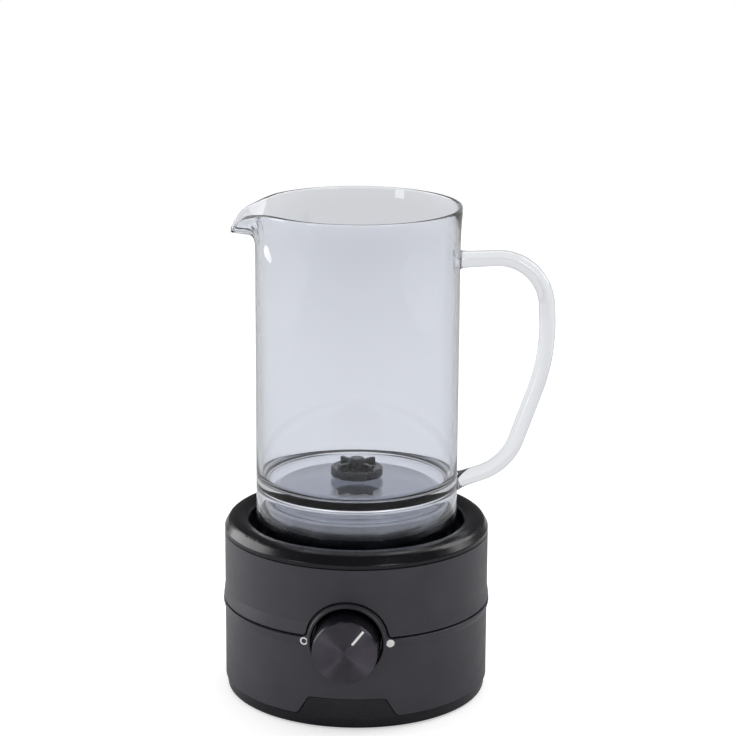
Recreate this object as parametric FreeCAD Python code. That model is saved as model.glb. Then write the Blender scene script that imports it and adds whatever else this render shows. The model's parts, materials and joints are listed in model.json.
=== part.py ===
import FreeCAD, Part
import math
import os

# Magnetic-stir cold brew coffee maker: a round motor base with a front knob,
# and a glass jug whose hollow foot drops over the drive hub in the base's well.
# Millimetres. +Z up, origin on the table under the axis of the round base,
# knob towards -Y, power inlet towards +Y. The jug stands with its handle towards +X
# and its spout towards -X, both turned a few degrees about the axis.

V = FreeCAD.Vector
ORIGIN = V(0, 0, 0)
UP = V(0, 0, 1)
DOWN = V(0, 0, -1)
FRONT = V(0, -1, 0)
BACK = V(0, 1, 0)
RIGHT = V(1, 0, 0)
FULL_TURN = 360
QUARTER_TURN = 90
TINY = 1e-6

# Clearances
FIT = 0.1             # between shells that slide over or sit on each other
RUNNING = 0.04        # radial, between a shaft and its bush
PRESSED = 0.015       # radial, between parts pressed or bonded together
SCREW_PLAY = 0.05     # radial, between a screw and the hole it cuts its thread in
REST_GAP = 0.2        # under the jug and under the stirrer
CUT_OVER = 5.0        # how far a cutting tool runs past the face that it opens
FUSE = 0.5            # how far joined features reach into each other

# Plan: the jug stands in the well, and the base's ring goes round the well
JUG_R = 49.4
JUG_PLAY = 3.7        # between the jug and the well's wall
RING_W = 11.9         # from the well's edge to the base's face

WELL_R = JUG_R + JUG_PLAY
BODY_R = WELL_R + RING_W

# Outer shells of the base
SLEEVE_WALL = 2.9
HOUSING_WALL = 2.2
FOOT_LIFT = 0.8       # rubber showing under the bottom plate
FOOT_RING_H = 5.6
FOOT_TUCK = 0.4       # the foot ring stays inside the sleeve's face
FOOT_DRAFT = 0.8      # and narrows towards the table
FOOT_ROUND = 1.4
PANEL_GAP = 0.4       # dark line between the foot ring and the lower sleeve
LOWER_H = 35.4
BELT_H = 3.9
BELT_PROUD = 0.9
BELT_SLOPE = 0.7      # how far the belt falls back towards its lower edge
BELT_SLOPE_H = 2.6
BELT_ROUND = 0.4
SHADOW_GAP = 0.9      # dark groove between the belt and the upper sleeve
UPPER_H = 33.8
FLARE = 0.7           # the upper sleeve's lower edge turns outwards
FLARE_H = 6.6
FLARE_EDGE = 1.0
FLARE_ROUND = 0.4

HOUSING_R = BODY_R - SLEEVE_WALL - FIT
HOUSING_BORE = HOUSING_R - HOUSING_WALL
SHELL_BORE = HOUSING_R + FIT
BELT_R = BODY_R + BELT_PROUD
Z_FOOT = FOOT_LIFT
Z_FOOT_TOP = Z_FOOT + FOOT_RING_H
Z_LOWER = Z_FOOT_TOP + PANEL_GAP
Z_LOWER_TOP = Z_LOWER + LOWER_H
Z_BELT = Z_LOWER_TOP + FIT
Z_BELT_TOP = Z_BELT + BELT_H
Z_UPPER = Z_BELT_TOP + SHADOW_GAP
Z_COLLAR = Z_UPPER + UPPER_H

# Bare plate that rises from the foot ring into a cut in the lower sleeve
TAB_H = 9.4           # height of the cut
TAB_TOP_HALF = 18.6   # half the cut's width at its top
TAB_SLOPE = 5.4       # how much wider each side is at its root
TAB_ROUND = 3.0

# Knob, its bezel and the dish behind it
KNOB_R = 15.5
KNOB_BACK_R = 15.9
KNOB_PROUD = 15.0     # from the sleeve's face to the knob's face
KNOB_ABOVE_BELT = 2.7
KNOB_EDGE = 0.5
KNOB_WALL = 2.0
KNOB_FLOOR = 1.8
KNOB_PLAY = 1.3       # round the knob's face, inside the bezel's mouth
KNOB_LIFT = 1.5       # between the knob and the dish floor
FACE_T = 1.0
FACE_INSET = 0.2
FACE_CHAMFER = 0.3
POINTER_ANGLE = 38.0  # clockwise from the top
POINTER_FROM = 5.7
POINTER_EDGE = 1.1    # from the pointer's end to the knob's edge
POINTER_W = 1.1
POINTER_DEPTH = 0.3
POINTER_ROUND = 0.4
LIP_W = 2.1
LIP_PROUD = 1.5
LIP_ROUND = 0.8
LAND_W = 0.4          # flat round the lip, before the shadow groove
ARCH_FILLET = 2.2
DISH_DEPTH = 8.0
DISH_WALL = 2.2

KNOB_Z = Z_BELT + KNOB_ABOVE_BELT
KNOB_CENTRE = V(0, 0, KNOB_Z)
POINTER_TO = KNOB_R - POINTER_EDGE
MOUTH_R = KNOB_R + KNOB_PLAY
LIP_R = MOUTH_R + LIP_W
BEZEL_R = LIP_R + LAND_W
Y_FACE = -(BODY_R + KNOB_PROUD)
Y_KNOB_FRONT = Y_FACE + FACE_T
Y_LIP = -(BODY_R + LIP_PROUD)
Y_DISH = Y_LIP + DISH_DEPTH
Y_PANEL_BACK = Y_DISH + DISH_WALL
Y_KNOB_BACK = Y_DISH - KNOB_LIFT

# Marks at the two ends of the knob's travel: a ring for off and a dot for on
MARK_BESIDE = 1.3     # from the bezel's arc out to a mark's centre
MARK_MARGIN = 0.05    # left above and below a mark on the belt
MARK_STROKE = 0.7
MARK_DEPTH = 0.4

MARK_X = BEZEL_R + MARK_BESIDE
MARK_R = BELT_H / 2 - MARK_MARGIN
MARK_Z = Z_BELT + BELT_H / 2

# Jug
JUG_WALL = 2.4
JUG_H = 173.45
JUG_FLOOR_UP = 34.7   # hollow foot under the jug's floor
JUG_FLOOR_T = 3.1
JUG_FLOOR_ROUND = 5.0
JUG_FOOT_ROUND = 3.0
JUG_EDGE_ROUND = 0.8
RIM_FLARE = 0.8
RIM_FLARE_H = 5.0
RIM_ROUND = 1.0
JUG_TURN = 6.0        # degrees that the jug is turned on its hub, seen from above

# Spout sections: reach beyond the wall, half width, and how far the lip and the
# keel lie below the rim
SPOUT = [
    (-6.0, 24.5, 0.4, 24.0),
    (-1.1, 18.6, 1.5, 19.0),
    (3.0, 14.0, 2.7, 14.8),
    (6.7, 9.9, 4.9, 13.9),
    (10.3, 6.3, 9.5, 13.5),
    (11.7, 3.2, 11.8, 13.3),
]
SPOUT_WALL = 1.8
SPOUT_POINTS = 9

# Handle, a bent glass rod: corners of its centre line as distance out from the
# wall, height above the jug's foot, and bend radius
ROD_R = 4.0
ROOT_R = 5.4
ROOT_L = 3.0
HANDLE = [
    (0.0, 146.5, 0.0),
    (40.8, 148.2, 24.4),
    (44.3, 99.5, 96.0),
    (22.5, 43.5, 28.0),
    (0.0, 35.4, 0.0),
]

# Well, drive hub and collar
WELL_WALL = 2.0
WELL_DEPTH = 12.9
WELL_FLOOR_T = 2.0
FLANGE_T = 2.4
CUSHION_T = 1.5
CUSHION_W = 6.0
CUSHION_PLAY = 1.3    # between the cushion and the well's wall
HUB_PLAY = 2.6        # between the hub's cap and the jug's hollow foot
HUB_CLEAR = 3.0       # between the hub's cap and the jug's floor
HUB_WALL = 2.0
CAP_WALL = 0.7
HUB_LEDGE = 5.6       # from the hub's side in to the step on its top
HUB_STEP_H = 2.8
HUB_STEP_SLOPE = 1.2
HUB_SHOULDER = 4.0
HUB_ROUND = 2.2
COLLAR_WALL = 2.4
COLLAR_GAP = 0.6      # dark line between the collar and the upper sleeve
COLLAR_GAP_IN = 0.9
COLLAR_BAND = 2.4     # upright band above the upper sleeve
COLLAR_SHOULDER_IN = 2.1
COLLAR_SHOULDER_H = 6.1
COLLAR_CREST_IN = 6.2
COLLAR_CREST_H = 8.3
COLLAR_LIP_W = 0.8
COLLAR_LIP_H = 6.2
COLLAR_LIP_DROP = 1.0
COLLAR_ROUND = 1.0
COLLAR_SHOULDER_ROUND = 3.5
COLLAR_CREST_ROUND = 6.0

TUB_R = WELL_R + WELL_WALL
CAP_R = JUG_R - JUG_WALL - HUB_PLAY
HUB_STEP_R = CAP_R - HUB_LEDGE
Z_WELL = Z_COLLAR - WELL_DEPTH
Z_WELL_UNDER = Z_WELL - WELL_FLOOR_T
Z_JUG = Z_WELL + CUSHION_T + REST_GAP
Z_RIM = Z_JUG + JUG_H
Z_JUG_FLOOR = Z_JUG + JUG_FLOOR_UP
Z_JUG_FLOOR_TOP = Z_JUG_FLOOR + JUG_FLOOR_T
Z_CAP = Z_JUG_FLOOR - HUB_CLEAR
TUB_INSET = CAP_WALL + FIT
BORE_INSET = TUB_INSET + HUB_WALL
Z_FLANGE_TOP = Z_COLLAR - FIT
Z_FLANGE = Z_FLANGE_TOP - FLANGE_T
Z_HUB_UNDER = Z_CAP - BORE_INSET

# Screws: shank radius, length, head radius, head height
BOTTOM_SCREW = (1.5, 10.0, 2.8, 1.7)
FLANGE_SCREW = (1.1, 9.0, 2.1, 1.4)
BRACKET_SCREW = (1.5, 12.0, 3.2, 1.8)
MOTOR_SCREW = (1.4, 3.9, 2.5, 1.6)
BOARD_SCREW = (1.1, 6.0, 2.2, 1.3)
RECESS_W = 0.7
RECESS_DEPTH = 0.8
THREAD_PAST = 0.5     # a pilot hole runs on past the screw's tip

# Bottom plate and housing
PLATE_T = 3.2
NON_SLIP_IN = 14.5    # from the plate's edge to the middle of the non-slip ring
NON_SLIP_W = 7.0
NON_SLIP_SUNK = 1.2
NON_SLIP_ROUND = 0.4
CORNERS = 4
CORNER_ANGLE = 45.0
HEAD_PLAY = 0.3
BOTTOM_BOSS_IN = 2.8  # from the housing's bore to a screw's axis
BOTTOM_BOSS_R = 3.6
BOTTOM_BOSS_H = 14.0
FLANGE_BOSS_IN = 1.6
FLANGE_BOSS_PLAY = 0.5
FLANGE_BOSS_H = 12.0

NON_SLIP_R = HOUSING_R - NON_SLIP_IN
BOTTOM_PITCH_R = HOUSING_BORE - BOTTOM_BOSS_IN
FLANGE_PITCH_R = HOUSING_BORE - FLANGE_BOSS_IN
FLANGE_BOSS_R = FLANGE_PITCH_R - TUB_R - FLANGE_BOSS_PLAY
Z_PLATE_TOP = Z_FOOT + PLATE_T
Z_BOTTOM_HEAD = Z_FOOT + BOTTOM_SCREW[3] + FIT

# Magnetic drive
CARRIER_R = 22.0
CARRIER_T = 8.0
CARRIER_CLEAR = 1.3
CARRIER_BOSS_R = 6.0
CARRIER_BOSS_H = 5.0
MAGNET_R = 6.0
MAGNET_T = 5.0
MAGNET_SUNK = 0.1
MAGNET_PITCH_R = 13.5
MAGNET_COUNT = 2
SHAFT_R = 1.6
SHAFT_END_IN = 1.0    # from the carrier's top down to the shaft's end
GRUB_R = 1.45
GRUB_UP = 2.5
GRUB_SUNK = 0.5

Z_CARRIER_TOP = Z_HUB_UNDER - CARRIER_CLEAR
Z_CARRIER = Z_CARRIER_TOP - CARRIER_T
Z_CARRIER_BOSS = Z_CARRIER - CARRIER_BOSS_H
Z_SHAFT_TOP = Z_CARRIER_TOP - SHAFT_END_IN

# Motor, and the bracket that hangs it under the hub
BRACKET_PLAY = 4.6    # between the bracket and the hub's bore
BRACKET_T = 2.5
BRACKET_DROP = 3.8    # from the carrier's boss down to the bracket
HANGER_IN = 5.5       # from the bracket's edge to a hanger's axis
HANGER_R = 3.8
GROMMET_R = 4.6
GROMMET_NECK_R = 3.2
GROMMET_FLANGE = 1.5
MOTOR_R = 17.5
MOTOR_H = 36.0
CAN_WALL = 1.2
CAN_FRONT_T = 1.5
MOTOR_BOSS_R = 5.0
MOTOR_BOSS_H = 3.0
MOTOR_SCREW_R = 8.6
MOTOR_SCREW_COUNT = 2
BUSH_R = 3.2
BUSH_H = 4.0
END_CAP_T = 3.5
END_BOSS_R = 4.5
END_BOSS_H = 2.0
END_BUSH_IN = 0.5
SHAFT_END_UP = 0.6    # from the end boss's face up to the shaft's lower end
FIELD_T = 1.8
FIELD_UP = 8.0        # above the motor's rear face
FIELD_DOWN = 6.0      # below its front face
FIELD_SPAN = 130.0
AIR_GAP = 0.9         # between the field magnets and the armature
ARMATURE_UP = 11.0
ARMATURE_DOWN = 7.0
SLOT_COUNT = 5
SLOT_W = 4.0
SLOT_FLOOR_R = 6.6
WINDING_H = 3.0
WINDING_IN = 0.5      # how far the windings stay inside the armature's face
WINDING_PLAY = 0.2
COMMUTATOR_R = 4.2
COMMUTATOR_H = 2.6
COMMUTATOR_UP = 4.7
BRUSH_W = 3.0
BRUSH_L = 2.3
LEAF_T = 0.5
TERMINAL_X = 9.5
TERMINAL_W = 4.0
TERMINAL_T = 0.8
TERMINAL_L = 5.0      # below the motor

BRACKET_R = CAP_R - BORE_INSET - BRACKET_PLAY
HANGER_PITCH_R = BRACKET_R - HANGER_IN
CAN_BORE = MOTOR_R - CAN_WALL
ARMATURE_R = CAN_BORE - FIELD_T - AIR_GAP
ARMATURE_H = MOTOR_H - ARMATURE_UP - ARMATURE_DOWN
FIELD_H = MOTOR_H - FIELD_UP - FIELD_DOWN
Z_BRACKET_TOP = Z_CARRIER_BOSS - BRACKET_DROP
Z_BRACKET = Z_BRACKET_TOP - BRACKET_T
Z_HANGER = Z_BRACKET_TOP + GROMMET_FLANGE
Z_MOTOR = Z_BRACKET - MOTOR_H
Z_END_CAP_TOP = Z_MOTOR + END_CAP_T
Z_TERMINAL = Z_MOTOR - TERMINAL_L

# Speed control behind the knob
CONTROL_R = 8.5
CONTROL_H = 8.0
CONTROL_FLOOR = 1.5
THREAD_R = 3.5
THREAD_L = 8.2
SPINDLE_R = 3.0
SPINDLE_FLAT = 1.5
SPINDLE_GAP = 0.2     # beyond each end of the spindle
BOSS_R = 5.2
BOSS_CLEAR = 1.2      # between the thread's end and the knob's boss
WASHER_R = 6.5
WASHER_T = 0.5
NUT_R = 5.8
NUT_T = 2.0
NUT_SIDES = 6
LUG_COUNT = 3
LUG_PITCH = 4.0
LUG_W = 1.6
LUG_T = 0.6
LUG_L = 4.0

Y_CONTROL_BACK = Y_PANEL_BACK + CONTROL_H
Y_THREAD_END = Y_PANEL_BACK - THREAD_L
Y_BOSS = Y_THREAD_END - BOSS_CLEAR
Y_BOSS_FLOOR = Y_KNOB_FRONT + KNOB_FLOOR
Y_SPINDLE_TIP = Y_BOSS_FLOOR + SPINDLE_GAP
Y_SPINDLE_END = Y_CONTROL_BACK - CONTROL_FLOOR - SPINDLE_GAP
Y_LUG = Y_PANEL_BACK + CONTROL_H / 2
Z_LUG = KNOB_Z - CONTROL_R - LUG_L

# Power inlet in the back of the lower sleeve
INLET_UP = 22.0       # above the bottom plate
INLET_R = 5.5
INLET_FLANGE_R = 8.0
INLET_FLANGE_T = 1.1
INLET_L = 12.0
SOCKET_R = 2.75
SOCKET_DEPTH = 9.5
PIN_R = 1.05
PIN_L = 8.5
INLET_NUT_T = 2.5
TAG_X = 2.5
TAG_W = 1.6
TAG_T = 0.6
TAG_L = 3.5

Z_INLET = Z_PLATE_TOP + INLET_UP
Y_INLET_SEAT = BODY_R - INLET_FLANGE_T
Y_INLET_END = BODY_R - INLET_L
Y_SOCKET_FLOOR = BODY_R - SOCKET_DEPTH
Y_INLET_NUT = math.sqrt(HOUSING_BORE ** 2 - INLET_FLANGE_R ** 2) - FIT
Y_TAG_END = Y_INLET_END - TAG_L

# Control board; plugs and chips as x, y, width, depth, height on the board
POST_H = 8.0
POST_R = 3.2
POST_X = 25.0
POST_Y = 15.0
BOARD_X = 60.0
BOARD_Y = 40.0
BOARD_T = 1.6
PLUG_H = 7.0
PLUG_D = 6.0
CONTROL_PLUG = (0.0, -14.0, 13.0, PLUG_D, PLUG_H)
INLET_PLUG = (0.0, 16.0, 10.0, PLUG_D, PLUG_H)
MOTOR_PLUG = (23.0, -5.0, 8.0, PLUG_D, PLUG_H)
CHIPS = [(9.0, -3.0, 8.0, 6.0, 1.5), (-6.0, 6.0, 6.0, 6.0, 1.5), (-8.0, -4.0, 5.0, 4.0, 2.0)]
CAPACITORS = [(-20.0, -5.0, 5.0, 14.0), (-20.0, 7.0, 4.0, 11.0)]
SINK_AT = (15.0, 9.0)
SINK_X = 14.0
SINK_Y = 7.0
SINK_H = 13.0
SINK_BASE = 2.0
FIN_COUNT = 4
FIN_T = 1.4

Z_BOARD = Z_PLATE_TOP + POST_H
Z_BOARD_TOP = Z_BOARD + BOARD_T
Z_PLUG = Z_BOARD_TOP + PLUG_H

# Leads inside the base
LEAD_R = 0.7
LEAD_BEND = 2.4
LEAD_RISE = 5.5       # a level run's height above its plug
MOTOR_LEAD_DROPS = (8.4, 4.4)   # from the terminals down to each level run
MOTOR_LEAD_SIDE = 1.6

# Stirrer
STIRRER_R = 12.8
STIRRER_BASE_H = 4.6
STIRRER_H = 9.5
STIRRER_HUB_R = 4.0
STIRRER_ROUND = 1.2
STIRRER_FOOT_R = 2.8
STIRRER_FOOT_H = 0.6
VANE_COUNT = 4
VANE_T = 1.8
VANE_IN = 1.5
STIR_MAGNET_R = 2.8
STIR_MAGNET_T = 2.8
STIR_MAGNET_PITCH_R = 7.4

Z_STIRRER = Z_JUG_FLOOR_TOP + REST_GAP
Z_STIRRER_UNDER = Z_STIRRER + STIRRER_FOOT_H


def rounded_edges(corners, closed):
    """Edges of a path through (point, radius) corners, with each corner rounded."""
    last = len(corners) - 1
    stops = []
    for index, (point, radius) in enumerate(corners):
        end_of_path = not closed and index in (0, last)
        if radius < TINY or end_of_path:
            stops.append((point, None, point))
            continue
        to_previous = (corners[index - 1][0] - point).normalize()
        to_next = (corners[(index + 1) % len(corners)][0] - point).normalize()
        half = to_previous.getAngle(to_next) / 2
        reach = radius / math.tan(half)
        centre = point + (to_previous + to_next).normalize() * (radius / math.sin(half))
        middle = centre + (point - centre).normalize() * radius
        stops.append((point + to_previous * reach, middle, point + to_next * reach))
    edges = []
    for index, (start, middle, end) in enumerate(stops):
        if middle:
            edges.append(Part.Arc(start, middle, end).toShape())
        following = stops[(index + 1) % len(stops)][0]
        if (closed or index < last) and (following - end).Length > TINY:
            edges.append(Part.LineSegment(end, following).toShape())
    return edges


def rounded_face(points, corners):
    """Flat face whose corners take the radius, if any, that ends each corner's tuple."""
    radii = [corner[2] if len(corner) > 2 else 0.0 for corner in corners]
    return Part.Face(Part.Wire(rounded_edges(list(zip(points, radii)), True)))


def turned(corners):
    """Solid turned about the base's axis from (r, z) or (r, z, radius) corners."""
    face = rounded_face([V(corner[0], 0, corner[1]) for corner in corners], corners)
    return face.revolve(ORIGIN, UP, FULL_TURN)


def turned_on_knob_axis(corners):
    """Solid turned about the knob's axis from (r, y) or (r, y, radius) corners."""
    face = rounded_face([V(corner[0], corner[1], KNOB_Z) for corner in corners], corners)
    return face.revolve(KNOB_CENTRE, BACK, FULL_TURN)


def front_prism(corners, from_y, length):
    """Prism along +Y from (x, z) or (x, z, radius) corners."""
    face = rounded_face([V(corner[0], from_y, corner[1]) for corner in corners], corners)
    return face.extrude(BACK * length)


def rod(radius, start, along, length):
    return Part.makeCylinder(radius, length, start, along)


def tube(inner, outer, low, high):
    """Upright tube about the base's axis."""
    bore = rod(inner, V(0, 0, low - CUT_OVER), UP, high - low + 2 * CUT_OVER)
    return rod(outer, V(0, 0, low), UP, high - low).cut(bore)


def block(centre_x, centre_y, low, size_x, size_y, height):
    corner = V(centre_x - size_x / 2, centre_y - size_y / 2, low)
    return Part.makeBox(size_x, size_y, height, corner)


def radial_block(from_r, to_r, width, low, high, angle):
    """Upright slab that points away from the base's axis at an angle."""
    slab = Part.makeBox(to_r - from_r, width, high - low, V(from_r, -width / 2, low))
    slab.rotate(ORIGIN, UP, angle)
    return slab


def spots(count, radius, height, turn=0.0):
    """Points spaced evenly on a circle about the base's axis."""
    angles = [math.radians(turn + FULL_TURN * index / count) for index in range(count)]
    return [V(radius * math.cos(angle), radius * math.sin(angle), height) for angle in angles]


def joined(shapes):
    first = shapes[0]
    return first.fuse(shapes[1:]).removeSplitter() if len(shapes) > 1 else first


def cut_all(shape, tools):
    for tool in tools:
        shape = shape.cut(tool)
    return shape


def screw(seat, along, size):
    """Pan-head screw with a cross recess; seat is the point under its head."""
    shank_r, length, head_r, head_h = size
    top = seat - along * head_h
    slots = []
    for wide, deep in ((head_r, RECESS_W), (RECESS_W, head_r)):
        slot = Part.makeBox(wide, deep, RECESS_DEPTH, V(-wide / 2, -deep / 2, 0))
        slot.Placement = FreeCAD.Placement(top, FreeCAD.Rotation(UP, along)) * slot.Placement
        slots.append(slot)
    body = joined([rod(shank_r, seat - along * FUSE, along, length + FUSE),
                   rod(head_r, top, along, head_h)])
    return cut_all(body, slots)


def pilot(seat, along, size):
    """Hole that a screw of this size holds in."""
    return rod(size[0] + SCREW_PLAY, seat, along, size[1] + THREAD_PAST)


def lead(points):
    """Insulated lead along straight runs with rounded bends."""
    path = Part.Wire(rounded_edges([(point, LEAD_BEND) for point in points], False))
    start = Part.Circle(points[0], points[1] - points[0], LEAD_R).toShape()
    return path.makePipeShell([Part.Wire(start)], True, False)


def save(node, shapes):
    solids = [solid for shape in shapes for solid in shape.Solids]
    body = solids[0] if len(solids) == 1 else Part.makeCompound(solids)
    body.exportStep(os.path.join("parts", node + ".step"))
    print(node, len(solids), body.isValid(), round(body.Volume, 1))


# Outer shells

def tab_prism(shrink):
    """Foot tab's outline, drawn in from the cut in the sleeve by shrink."""
    root = Z_LOWER - shrink
    top = root + TAB_H
    half_top = TAB_TOP_HALF - shrink
    half_root = half_top + TAB_SLOPE
    half_end = half_root + TAB_ROUND * 2
    low = root - FUSE
    corners = [
        (-half_end, low),
        (-half_end, root),
        (-half_root, root, TAB_ROUND + shrink),
        (-half_top, top, TAB_ROUND - shrink),
        (half_top, top, TAB_ROUND - shrink),
        (half_root, root, TAB_ROUND + shrink),
        (half_end, root),
        (half_end, low),
    ]
    return front_prism(corners, -BODY_R - CUT_OVER, BODY_R / 2)


def arch_prism(side, radius, fillet, line):
    """Solid over (side 1) or under (side -1) the knob's axis, out to the line of the belt.

    The line turns through a fillet into an arc round the knob's axis.
    """
    axis = V(0, -BODY_R - CUT_OVER, KNOB_Z)
    rise = side * (line - KNOB_Z) + fillet
    run = math.sqrt((radius + fillet) ** 2 - rise ** 2)
    right = [V(run, 0, side * (rise - fillet))]
    centre = V(run, 0, side * rise)
    on_arc = centre * (radius / (radius + fillet))
    halfway = ((right[0] - centre) + (on_arc - centre)).normalize()
    right += [centre + halfway * fillet, on_arc]
    left = [V(-point.x, 0, point.z) for point in right]
    crown = V(0, 0, side * radius)
    foot = [V(run, 0, 0), V(-run, 0, 0)]
    edges = [
        Part.Arc(axis + left[0], axis + left[1], axis + left[2]).toShape(),
        Part.Arc(axis + left[2], axis + crown, axis + right[2]).toShape(),
        Part.Arc(axis + right[2], axis + right[1], axis + right[0]).toShape(),
        Part.LineSegment(axis + right[0], axis + foot[0]).toShape(),
        Part.LineSegment(axis + foot[0], axis + foot[1]).toShape(),
        Part.LineSegment(axis + foot[1], axis + left[0]).toShape(),
    ]
    return Part.Face(Part.Wire(edges)).extrude(BACK * (BODY_R / 2))


def foot_ring():
    ring = turned([
        (SHELL_BORE, Z_FOOT),
        (BODY_R - FOOT_TUCK - FOOT_DRAFT, Z_FOOT, FOOT_ROUND),
        (BODY_R - FOOT_TUCK, Z_FOOT_TOP),
        (SHELL_BORE, Z_FOOT_TOP),
    ])
    shell = tube(SHELL_BORE, BODY_R - FOOT_TUCK, Z_FOOT, Z_LOWER_TOP)
    return joined([ring, tab_prism(PANEL_GAP).common(shell)])


def lower_sleeve():
    sleeve = tube(SHELL_BORE, BODY_R, Z_LOWER, Z_LOWER_TOP)
    return cut_all(sleeve, [
        tab_prism(0.0),
        arch_prism(-1, BEZEL_R + FIT, ARCH_FILLET - FIT, Z_LOWER_TOP),
        rod(INLET_FLANGE_R + FIT, V(0, Y_INLET_SEAT, Z_INLET), BACK, CUT_OVER),
        rod(INLET_R + FIT, V(0, Y_INLET_END, Z_INLET), BACK, INLET_L),
    ])


def mark_prisms(grow):
    """Ring on the left and dot on the right, thicker all round by grow."""
    start = -BODY_R - CUT_OVER
    ring_at = V(-MARK_X, start, MARK_Z)
    ring = rod(MARK_R + grow, ring_at, BACK, BODY_R / 2)
    hole = rod(MARK_R - MARK_STROKE - grow, ring_at, BACK, BODY_R / 2)
    dot = rod(MARK_R + grow, V(MARK_X, start, MARK_Z), BACK, BODY_R / 2)
    return [ring.cut(hole), dot]


def belt_bezel():
    belt = turned([
        (SHELL_BORE, Z_BELT),
        (BELT_R - BELT_SLOPE, Z_BELT),
        (BELT_R, Z_BELT + BELT_SLOPE_H),
        (BELT_R, Z_BELT_TOP, BELT_ROUND),
        (SHELL_BORE, Z_BELT_TOP),
    ])
    skin = tube(SHELL_BORE, BELT_R, Z_LOWER, Z_COLLAR)
    over = arch_prism(1, BEZEL_R, ARCH_FILLET + SHADOW_GAP, Z_BELT_TOP).common(skin)
    under = arch_prism(-1, BEZEL_R, ARCH_FILLET, Z_BELT).common(skin)
    cup = turned_on_knob_axis([
        (0, Y_PANEL_BACK),
        (LIP_R, Y_PANEL_BACK),
        (LIP_R, Y_LIP, LIP_ROUND),
        (0, Y_LIP),
    ])
    mouth = turned_on_knob_axis([
        (0, Y_DISH),
        (MOUTH_R, Y_DISH),
        (MOUTH_R, Y_LIP + LIP_ROUND),
        (MOUTH_R + LIP_ROUND, Y_LIP - TINY),
        (MOUTH_R + LIP_ROUND, Y_LIP - CUT_OVER),
        (0, Y_LIP - CUT_OVER),
    ])
    thread_hole = rod(THREAD_R + FIT, V(0, Y_DISH - CUT_OVER, KNOB_Z), BACK, DISH_WALL + CUT_OVER * 2)
    groove = tube(BELT_R - MARK_DEPTH, BELT_R + CUT_OVER, Z_LOWER, Z_COLLAR)
    marks = [prism.common(groove) for prism in mark_prisms(PRESSED)]
    return cut_all(joined([belt, over, under, cup]), [mouth, thread_hole] + marks)


def dial_marks():
    inlay = tube(BELT_R - MARK_DEPTH, BELT_R, Z_LOWER, Z_COLLAR)
    return [prism.common(inlay) for prism in mark_prisms(0.0)]


def upper_sleeve():
    sleeve = turned([
        (SHELL_BORE, Z_UPPER),
        (BODY_R + FLARE, Z_UPPER, FLARE_ROUND),
        (BODY_R + FLARE, Z_UPPER + FLARE_EDGE),
        (BODY_R, Z_UPPER + FLARE_H),
        (BODY_R, Z_COLLAR - FIT),
        (SHELL_BORE, Z_COLLAR - FIT),
    ])
    return sleeve.cut(arch_prism(1, BEZEL_R + SHADOW_GAP, ARCH_FILLET, Z_UPPER))


def collar():
    crest_r = BODY_R - COLLAR_CREST_IN
    skin = turned([
        (WELL_R, Z_COLLAR),
        (BODY_R - COLLAR_GAP_IN, Z_COLLAR),
        (BODY_R - COLLAR_GAP_IN, Z_COLLAR + COLLAR_GAP),
        (BODY_R, Z_COLLAR + COLLAR_GAP),
        (BODY_R, Z_COLLAR + COLLAR_BAND, COLLAR_ROUND),
        (BODY_R - COLLAR_SHOULDER_IN, Z_COLLAR + COLLAR_SHOULDER_H, COLLAR_SHOULDER_ROUND),
        (crest_r, Z_COLLAR + COLLAR_CREST_H, COLLAR_CREST_ROUND),
        (WELL_R + COLLAR_LIP_W, Z_COLLAR + COLLAR_LIP_H, COLLAR_ROUND),
        (WELL_R, Z_COLLAR + COLLAR_LIP_H - COLLAR_LIP_DROP),
    ])
    hollow = turned([
        (WELL_R + COLLAR_WALL, Z_COLLAR - CUT_OVER),
        (BODY_R - SLEEVE_WALL, Z_COLLAR - CUT_OVER),
        (BODY_R - SLEEVE_WALL, Z_COLLAR + COLLAR_BAND),
        (crest_r, Z_COLLAR + COLLAR_CREST_H - COLLAR_WALL),
        (WELL_R + COLLAR_WALL, Z_COLLAR + COLLAR_LIP_H - COLLAR_WALL),
    ])
    return skin.cut(hollow)


def inner_housing():
    wall = tube(HOUSING_BORE, HOUSING_R, Z_PLATE_TOP, Z_FLANGE)
    low_spots = spots(CORNERS, BOTTOM_PITCH_R, Z_PLATE_TOP, CORNER_ANGLE)
    high_spots = spots(CORNERS, FLANGE_PITCH_R, Z_FLANGE, CORNER_ANGLE)
    bosses = [rod(BOTTOM_BOSS_R, spot, UP, BOTTOM_BOSS_H) for spot in low_spots]
    bosses += [rod(FLANGE_BOSS_R, spot, DOWN, FLANGE_BOSS_H) for spot in high_spots]
    plate_left = Z_PLATE_TOP - Z_BOTTOM_HEAD
    holes = [pilot(spot + DOWN * plate_left, UP, BOTTOM_SCREW) for spot in low_spots]
    holes += [pilot(spot + UP * FLANGE_T, DOWN, FLANGE_SCREW) for spot in high_spots]
    openings = [
        rod(LIP_R + FIT, V(0, -BODY_R, KNOB_Z), BACK, BODY_R / 2),
        rod(INLET_R + FIT, V(0, BODY_R, Z_INLET), FRONT, BODY_R / 2),
    ]
    return cut_all(joined([wall] + bosses), holes + openings)


# Bottom of the base

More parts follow.
